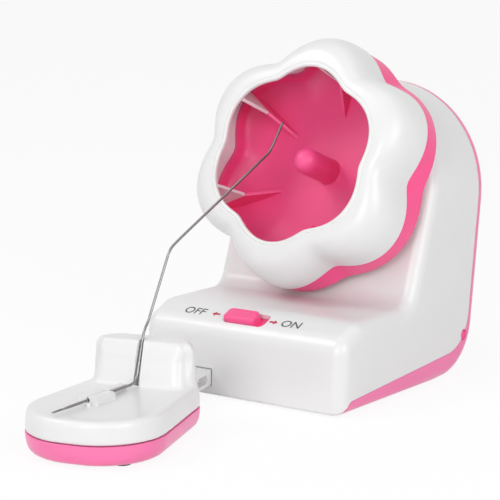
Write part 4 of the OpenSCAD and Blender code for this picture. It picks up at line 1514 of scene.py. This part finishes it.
    def _base(self) -> Object:
        """Makes the pink lower half.

        Returns:
            The piece.
        """
        keel = [(5.0, 0.0), (3.6, 0.35), (2.4, 1.0), (1.4, 2.0), (0.7, 3.4), (0.3, 5.0)]
        side = [(0.05, 7.0), (0.0, 8.2), (0.15, 8.4)]
        base = Bench.loft("foot_base_form", [FOOT.plan(self._plan(i), z) for i, z in (*keel, *side)])
        for places, radius in ((self.pads_at, self.pad_r), (self.screws_at, self.screw_r)):
            outline = circle(radius, 24)
            for x, y in places:
                seat = Bench.slab("seat", FOOT.moved(x, y, 0.0), outline, -self.seat_deep, self.seat_deep)
                Bench.combine(base, seat, Cut.TAKE)
        Bench.combine(base, self._arm_way(), Cut.TAKE)
        Bench.shade(base, 34.0)
        return base

    def _arm_way(self) -> Object:
        """Makes the tool for the arm's pocket in the foot.

        Returns:
            The tool.
        """
        way = FOOT.moved(0.0, self.arm_way_y, 0.0)
        outline = rounded(self.arm_half[0] + self.arm_gap, self.arm_way_l, 0.1, 1)
        low, high = self.arm_z
        return Bench.slab("arm_way", way, outline, low - self.arm_gap, high + self.arm_gap)

    def _arm(self) -> Object:
        """Makes the arm: a bar with a channel along its right-hand side.

        Returns:
            The piece.
        """
        middle = ARM.moved(0.0, self.arm_y, 0.0)
        arm = Bench.slab("link_arm_form", middle, rounded(*self.arm_half, 0.05, 1), *self.arm_z)
        beside = ARM.moved(self.arm_half[0], self.channel_y, 0.0)
        channel = Bench.slab("channel", beside, rounded(*self.channel_half, 0.4, 2), *self.channel_z)
        Bench.combine(arm, channel, Cut.TAKE)
        Bench.soften(arm, 0.4, 50.0, 3)
        Bench.shade(arm, 35.0)
        return arm

    def _clip(self) -> Object:
        """Makes the front clip: two jaws round the needle, and a nub before them.

        Returns:
            The piece.
        """
        middle = WIRE.moved(*self.clip_at, FOOT_LOW_H)
        section = [(-4.5, -0.7), (4.5, -0.7), (4.3, 1.7), (3.4, 2.55), (0.2, 2.6), (0.2, 1.9)]
        section += arc((0.0, 1.2), 0.78, 65.0, -245.0, 14)
        section += [(-0.2, 1.9), (-0.2, 2.6), (-3.4, 2.55), (-4.3, 1.7)]
        ends = (-self.clip_half, self.clip_half)
        loops = [[middle.point(x, y, z) for x, z in section] for y in ends]
        clip = Bench.loft("needle_clip_front_form", loops)
        Bench.soften(clip, 0.3, 35.0, 2)
        nub = WIRE.moved(*self.nub_at)
        bump = [(0.0, 1.0), (0.9, 1.0), (1.25, 0.85), (1.5, 0.5)]
        tip = Bench.loft("nub", [nub.plan(circle(r, 16), z) for z, r in bump])
        whole = Bench.join([clip, tip], "needle_clip_front_form")
        Bench.shade(whole, 40.0)
        return whole

    def _rib(self) -> Object:
        """Makes the rear rib beside the needle.

        Returns:
            The piece.
        """
        middle = WIRE.moved(*self.rib_at, FOOT_LOW_H)
        rib = Bench.slab("needle_clip_rear_form", middle, rounded(*self.rib_half, 0.4, 3), *self.rib_z)
        Bench.soften(rib, 0.4, 40.0, 3)
        Bench.shade(rib, 40.0)
        return rib


@dataclass
class Needle:
    """The bent needle from the foot into the bowl, with a flattened eye at its front."""

    radius: float = 0.55
    around: int = 14
    bend: float = 4.0
    eye_l: float = 7.0
    eye_end: float = 1.2
    eye_half: float = 0.36
    eye_corner: float = 0.34
    on_foot: float = 53.0
    wire_z: float = 18.8
    # How much wider and thinner than round the wire is beaten at the eye
    eye_beaten: float = 2.0
    # Bends: up the foot's block along the arm, towards the housing, and into the bowl from its axis
    rise: tuple[Point, ...] = ((-55.0, 38.3), (-51.0, 41.3))
    reach: tuple[Triple, ...] = ((-9.0, -34.2, 68.4), (-9.2, -28.0, 71.4))
    tip: tuple[Triple, ...] = ((-12.0, -32.6, 12.2), (-13.0, -21.4, 24.3))

    def build(self, paint: Paint) -> None:
        """Makes the needle.

        Args:
            paint: Gives materials and places.
        """
        piece = Bench.loft("needle_form", self._rings(self._rounded_path()))
        slot = WIRE.moved(0.0, self.eye_l / 2.0 - self.on_foot, self.wire_z)
        outline = rounded(self.eye_half, self.eye_l / 2.0 - self.eye_end, self.eye_corner, 4)
        Bench.combine(piece, Bench.slab("eye", slot, outline, -2.0, 2.0), Cut.TAKE)
        Bench.shade(piece, 50.0)
        paint.put(piece, WIRE_STEEL, "needle", "needle")

    def _corners(self) -> list[Vector]:
        """Lists the route's corners.

        Returns:
            The points in metres, from the eye to the tip.
        """
        eye = self.on_foot - self.eye_l
        run = [WIRE.point(0.0, -d, self.wire_z) for d in (self.on_foot, eye, eye - 2.0, -1.0)]
        rise = [ARM.point(0.0, y, z) for y, z in self.rise]
        reach = [HOUSING.point(*bend) for bend in self.reach]
        tip = [HOUSING.point(x, AXIS_Y + y, AXIS_Z + z) for x, y, z in self.tip]
        return [*run, *rise, *reach, *tip]

    def _rounded_path(self) -> list[tuple[Vector, float]]:
        """Rounds the route's bends.

        Returns:
            Points in metres with how far the wire is beaten flat there, 1 for round.
        """
        corners = self._corners()
        path = [(corners[0], self.eye_beaten), (corners[1], self.eye_beaten), (corners[2], 1.0)]
        most = 0.45
        steps = 6
        for before, at, after in zip(corners[2:], corners[3:], corners[4:]):
            reach = min(self.bend * MM, most * (before - at).length, most * (after - at).length)
            start = at + reach * (before - at).normalized()
            end = at + reach * (after - at).normalized()
            for step in range(steps + 1):
                t = step / steps
                path.append(((1 - t) ** 2 * start + 2 * t * (1 - t) * at + t**2 * end, 1.0))
        path.append((corners[-1], 1.0))
        return path

    def _rings(self, path: Sequence[tuple[Vector, float]]) -> list[list[Vector]]:
        """Draws the wire's rings along its path.

        Args:
            path: Points with how far the wire is beaten flat.

        Returns:
            The loops, with rounded ends.
        """
        rings = []
        last = len(path) - 1
        # Distances along the wire with the ring's size there: at the eye's end, at the tip and between
        eye_end = ((0.02, 0.4), (0.12, 0.8), (0.4, 1.0))
        tip_end = ((-0.8, 1.0), (-0.3, 0.75), (0.0, 0.35))
        between = ((0.0, 1.0),)
        for i, (at, beaten) in enumerate(path):
            along = (path[min(i + 1, last)][0] - path[max(i - 1, 0)][0]).normalized()
            steps = eye_end if i == 0 else tip_end if i == last else between
            for far, scale in steps:
                rings.append(self._ring(at + far * MM * along, along, beaten, scale))
        return rings

    def _ring(self, centre: Vector, along: Vector, beaten: float, scale: float) -> list[Vector]:
        """Draws one ring round the wire.

        Args:
            centre: Its middle.
            along: Direction of the wire.
            beaten: How far the wire is beaten flat, 1 for round.
            scale: Size of the ring, 1 for the whole wire.

        Returns:
            The loop in metres.
        """
        side = along.cross(Vector((0.0, 0.0, 1.0))).normalized()
        up = side.cross(along)
        radius = scale * self.radius * MM
        wide, thick = radius * (1.0 + beaten) / 2.0, radius / beaten
        turns = [2.0 * math.pi * k / self.around for k in range(self.around)]
        return [centre + wide * math.cos(a) * side + thick * math.sin(a) * up for a in turns]


@dataclass
class SwitchPanel:
    """The slide knob on the sloped panel, with its words and arrows."""

    knob_l: float = 16.0
    knob_w: float = 8.0
    knob_out: float = 2.3
    knob_corner: float = 2.4
    plate_half: Point = (14.4, 4.85)
    plate_z: Point = (-3.8, -2.4)
    travel: float = 5.0
    letter_h: float = 4.4
    # Height of a capital letter as a share of the type's size
    capital: float = 0.7
    ink_t: float = 0.02
    ink_spread: float = 0.06
    ink_z: float = 0.04

    def build(self, paint: Paint) -> None:
        """Makes the knob and the print.

        Args:
            paint: Gives materials and places.
        """
        paint.put(self._knob(), DEEP_PINK, "switch", "switch_slider")
        for name, text, x in (("word_off", "OFF", -27.3), ("word_on", "ON", 22.8)):
            paint.put(self._word(name, text, x), INK, "housing")
        for name, x, turn in (("arrow_off", -16.0, 1.0), ("arrow_on", 13.8, -1.0)):
            paint.put(self._arrow(name, x, turn), RED_INK, "housing")

    def _knob(self) -> Object:
        """Makes the knob with its plate under the panel.

        Returns:
            The piece.
        """
        middle = PANEL.moved(-self.travel / 2.0, 0.0, 0.0)
        half_l, half_w = self.knob_l / 2.0, self.knob_w / 2.0
        plate = rounded(*self.plate_half, 0.4, 6)
        stations = [(plate, z) for z in self.plate_z]
        side = [(0.0, self.plate_z[1]), (0.0, 0.6)]
        crown = [(0.12, 1.3), (0.45, 1.85), (0.95, 2.15), (1.7, self.knob_out)]
        for inset, z in (*side, *crown):
            corner = max(self.knob_corner - inset, 0.5)
            stations.append((rounded(half_l - inset, half_w - inset, corner, 6), z))
        knob = Bench.loft("switch_slider_form", [middle.plan(outline, z) for outline, z in stations])
        Bench.shade(knob, 40.0)
        return knob

    def _word(self, name: str, text: str, x: float) -> Object:
        """Makes a printed word.

        Args:
            name: Name of the piece.
            text: The word.
            x: Its middle to the right of the switch.

        Returns:
            The piece.
        """
        Bench.pick(None)
        bpy.ops.object.text_add()
        word = bpy.context.object
        word.name = name
        word.data.body = text
        word.data.align_x = "CENTER"
        word.data.align_y = "CENTER"
        word.data.size = self.letter_h / self.capital * MM
        word.data.extrude = self.ink_t * MM
        word.data.offset = self.ink_spread * MM
        bpy.ops.object.convert(target="MESH")
        word = bpy.context.object
        word.name = word.data.name = name
        place = PANEL.moved(x, 0.0, self.ink_z).matrix
        turn = place.to_quaternion().to_matrix().to_4x4()
        word.matrix_world = Matrix.Translation(MM * place.to_translation()) @ turn
        Bench.pick(word)
        bpy.ops.object.transform_apply(location=True, rotation=True, scale=True)
        return word

    def _arrow(self, name: str, x: float, turn: float) -> Object:
        """Makes a printed arrow.

        Args:
            name: Name of the piece.
            x: Its middle to the right of the switch.
            turn: 1 to point left, -1 to point right.

        Returns:
            The piece.
        """
        upper = [(-0.2, 1.5), (-0.2, 0.55), (2.0, 0.55)]
        lower = [(px, -py) for px, py in reversed(upper)]
        outline = [(x + turn * px, py) for px, py in ((-2.1, 0.0), *upper, *lower)]
        return Bench.slab(name, PANEL, outline, 0.01, 0.05)


class Hardware:
    """Finishes of the pieces that stay as they were packed."""

    FINISHES: dict[str, Finish] = {
        finish.slot: finish
        for finish in (WHITE, PINK, DEEP_PINK, RUBBER, STEEL, WIRE_STEEL, BRASS, DARK, NYLON, CELL, BOARD)
    }

    @classmethod
    def dress(cls, paint: Paint, frame: dict) -> None:
        """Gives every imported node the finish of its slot.

        Args:
            paint: Gives materials.
            frame: What the frame holds.
        """
        for entry in frame["record"]["subparts"]:
            node = frame["nodes"][entry["node"]]
            paint.dress(node, cls.FINISHES[entry["material_slot"]])
            LOG.info("node %s takes %s", entry["node"], entry["material_slot"])


@dataclass(frozen=True)
class Lamp:
    """A square soft lamp: its place and side in millimetres and its power in watts."""

    name: str
    place: Triple
    size: float
    power: float


LAMPS = (
    Lamp("key", (-560.0, -520.0, 840.0), 360.0, 2.5),
    Lamp("front", (160.0, -920.0, 360.0), 420.0, 2.3),
    Lamp("side", (780.0, -300.0, 400.0), 520.0, 2.7),
    Lamp("top", (0.0, 60.0, 900.0), 520.0, 0.4),
)


@dataclass
class Studio:
    """Floor, backdrop, lamps and camera of a plain white product photograph."""

    target: Triple = (-22.51, 36.92, 57.29)
    azimuth: float = 35.74
    elevation: float = 9.58
    distance: float = 795.96
    lens: float = 129.6
    sensor: float = 36.0
    fill: float = 0.45
    lamp_target: Triple = (0.0, 20.0, 55.0)
    # Side of the floor in metres, its grey under the lamps and its own white towards the camera
    floor_side: float = 40.0
    floor_grey: float = 0.9
    floor_white: float = 1.02
    floor_share: float = 0.88

    def build(self) -> None:
        """Sets up the whole studio."""
        self._floor()
        self._world()
        for lamp in LAMPS:
            self._hang(lamp)
        self._camera()
        bpy.context.scene.view_settings.view_transform = "Standard"

    def _floor(self) -> None:
        """Lays a white floor that keeps a faint shadow."""
        Bench.pick(None)
        bpy.ops.mesh.primitive_plane_add(size=self.floor_side)
        floor = bpy.context.object
        floor.name = "floor"
        graph = Graph("studio_floor")
        matt = graph.add("ShaderNodeBsdfDiffuse", Color=(*[self.floor_grey] * 3, 1.0))
        light = graph.add("ShaderNodeEmission", Color=(1.0, 1.0, 1.0, 1.0), Strength=self.floor_white)
        share = graph.add("ShaderNodeMapRange", To_Min=0.0, To_Max=self.floor_share)
        self._seen(graph.tree, share)
        mix = graph.add("ShaderNodeMixShader")
        graph.link(share, "Result", mix, 0)
        graph.link(matt, "BSDF", mix, 1)
        graph.link(light, "Emission", mix, 2)
        graph.link(mix, "Shader", graph.output, "Surface")
        floor.data.materials.append(graph.material)
        floor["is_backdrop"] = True

    def _world(self) -> None:
        """Makes the backdrop white to the camera and softer as a light."""
        world = bpy.data.worlds.new("studio_world")
        bpy.context.scene.world = world
        world.use_nodes = True
        tree = world.node_tree
        back = tree.nodes["Background"]
        share = tree.nodes.new("ShaderNodeMapRange")
        share.inputs["To Min"].default_value = self.fill
        share.inputs["To Max"].default_value = 1.0
        back.inputs["Color"].default_value = (1.0, 1.0, 1.0, 1.0)
        self._seen(tree, share)
        tree.links.new(share.outputs["Result"], back.inputs["Strength"])

    @staticmethod
    def _seen(tree: NodeTree, share: Node) -> None:
        """Lets a share follow the rays that see the backdrop: from the camera, a gloss or a glass.

        Args:
            tree: Nodes to add to.
            share: Node whose value is set.
        """
        sight = tree.nodes.new("ShaderNodeLightPath")
        gloss = tree.nodes.new("ShaderNodeMath")
        glass = tree.nodes.new("ShaderNodeMath")
        for node in (gloss, glass):
            node.operation = "MAXIMUM"
        tree.links.new(sight.outputs["Is Camera Ray"], gloss.inputs[0])
        tree.links.new(sight.outputs["Is Glossy Ray"], gloss.inputs[1])
        tree.links.new(gloss.outputs["Value"], glass.inputs[0])
        tree.links.new(sight.outputs["Is Transmission Ray"], glass.inputs[1])
        tree.links.new(glass.outputs["Value"], share.inputs["Value"])

    @staticmethod
    def _aim(place: Vector, target: Vector) -> Matrix:
        """Turns something at a place towards a target.

        Args:
            place: Where it is, in metres.
            target: What it looks at, in metres.

        Returns:
            Its matrix.
        """
        turn = (target - place).to_track_quat("-Z", "Y")
        return Matrix.Translation(place) @ turn.to_matrix().to_4x4()

    def _hang(self, lamp: Lamp) -> None:
        """Hangs a lamp that looks at the object.

        Args:
            lamp: The lamp.
        """
        Bench.pick(None)
        bpy.ops.object.light_add(type="AREA")
        light = bpy.context.object
        light.name = lamp.name
        light.data.size = lamp.size * MM
        light.data.energy = lamp.power
        light.matrix_world = self._aim(MM * Vector(lamp.place), MM * Vector(self.lamp_target))

    def _camera(self) -> None:
        """Puts the camera where the photograph was taken from."""
        a, e = math.radians(self.azimuth), math.radians(self.elevation)
        away = Vector((math.sin(a) * math.cos(e), -math.cos(a) * math.cos(e), math.sin(e)))
        target = MM * Vector(self.target)
        Bench.pick(None)
        bpy.ops.object.camera_add()
        camera = bpy.context.object
        camera.name = "camera"
        camera.data.lens = self.lens
        camera.data.sensor_width = self.sensor
        camera.data.clip_start = 0.01
        camera.matrix_world = self._aim(target + self.distance * MM * away, target)
        bpy.context.scene.camera = camera


def main() -> None:
    """Builds every piece around the frame."""
    logging.basicConfig(level=logging.INFO, format="%(name)s: %(message)s")
    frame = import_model()
    cad_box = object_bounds()
    paint = Paint()
    Hardware.dress(paint, frame)
    Housing().build(paint)
    SpinnerBowl().build(paint)
    NeedleFoot().build(paint)
    Needle().build(paint)
    SwitchPanel().build(paint)
    Studio().build()
    boxes = {"cad": cad_box, "visual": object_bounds()}
    json.dumps({key: [list(corner) for corner in box] for key, box in boxes.items()})


if __name__ == "__main__":
    main()
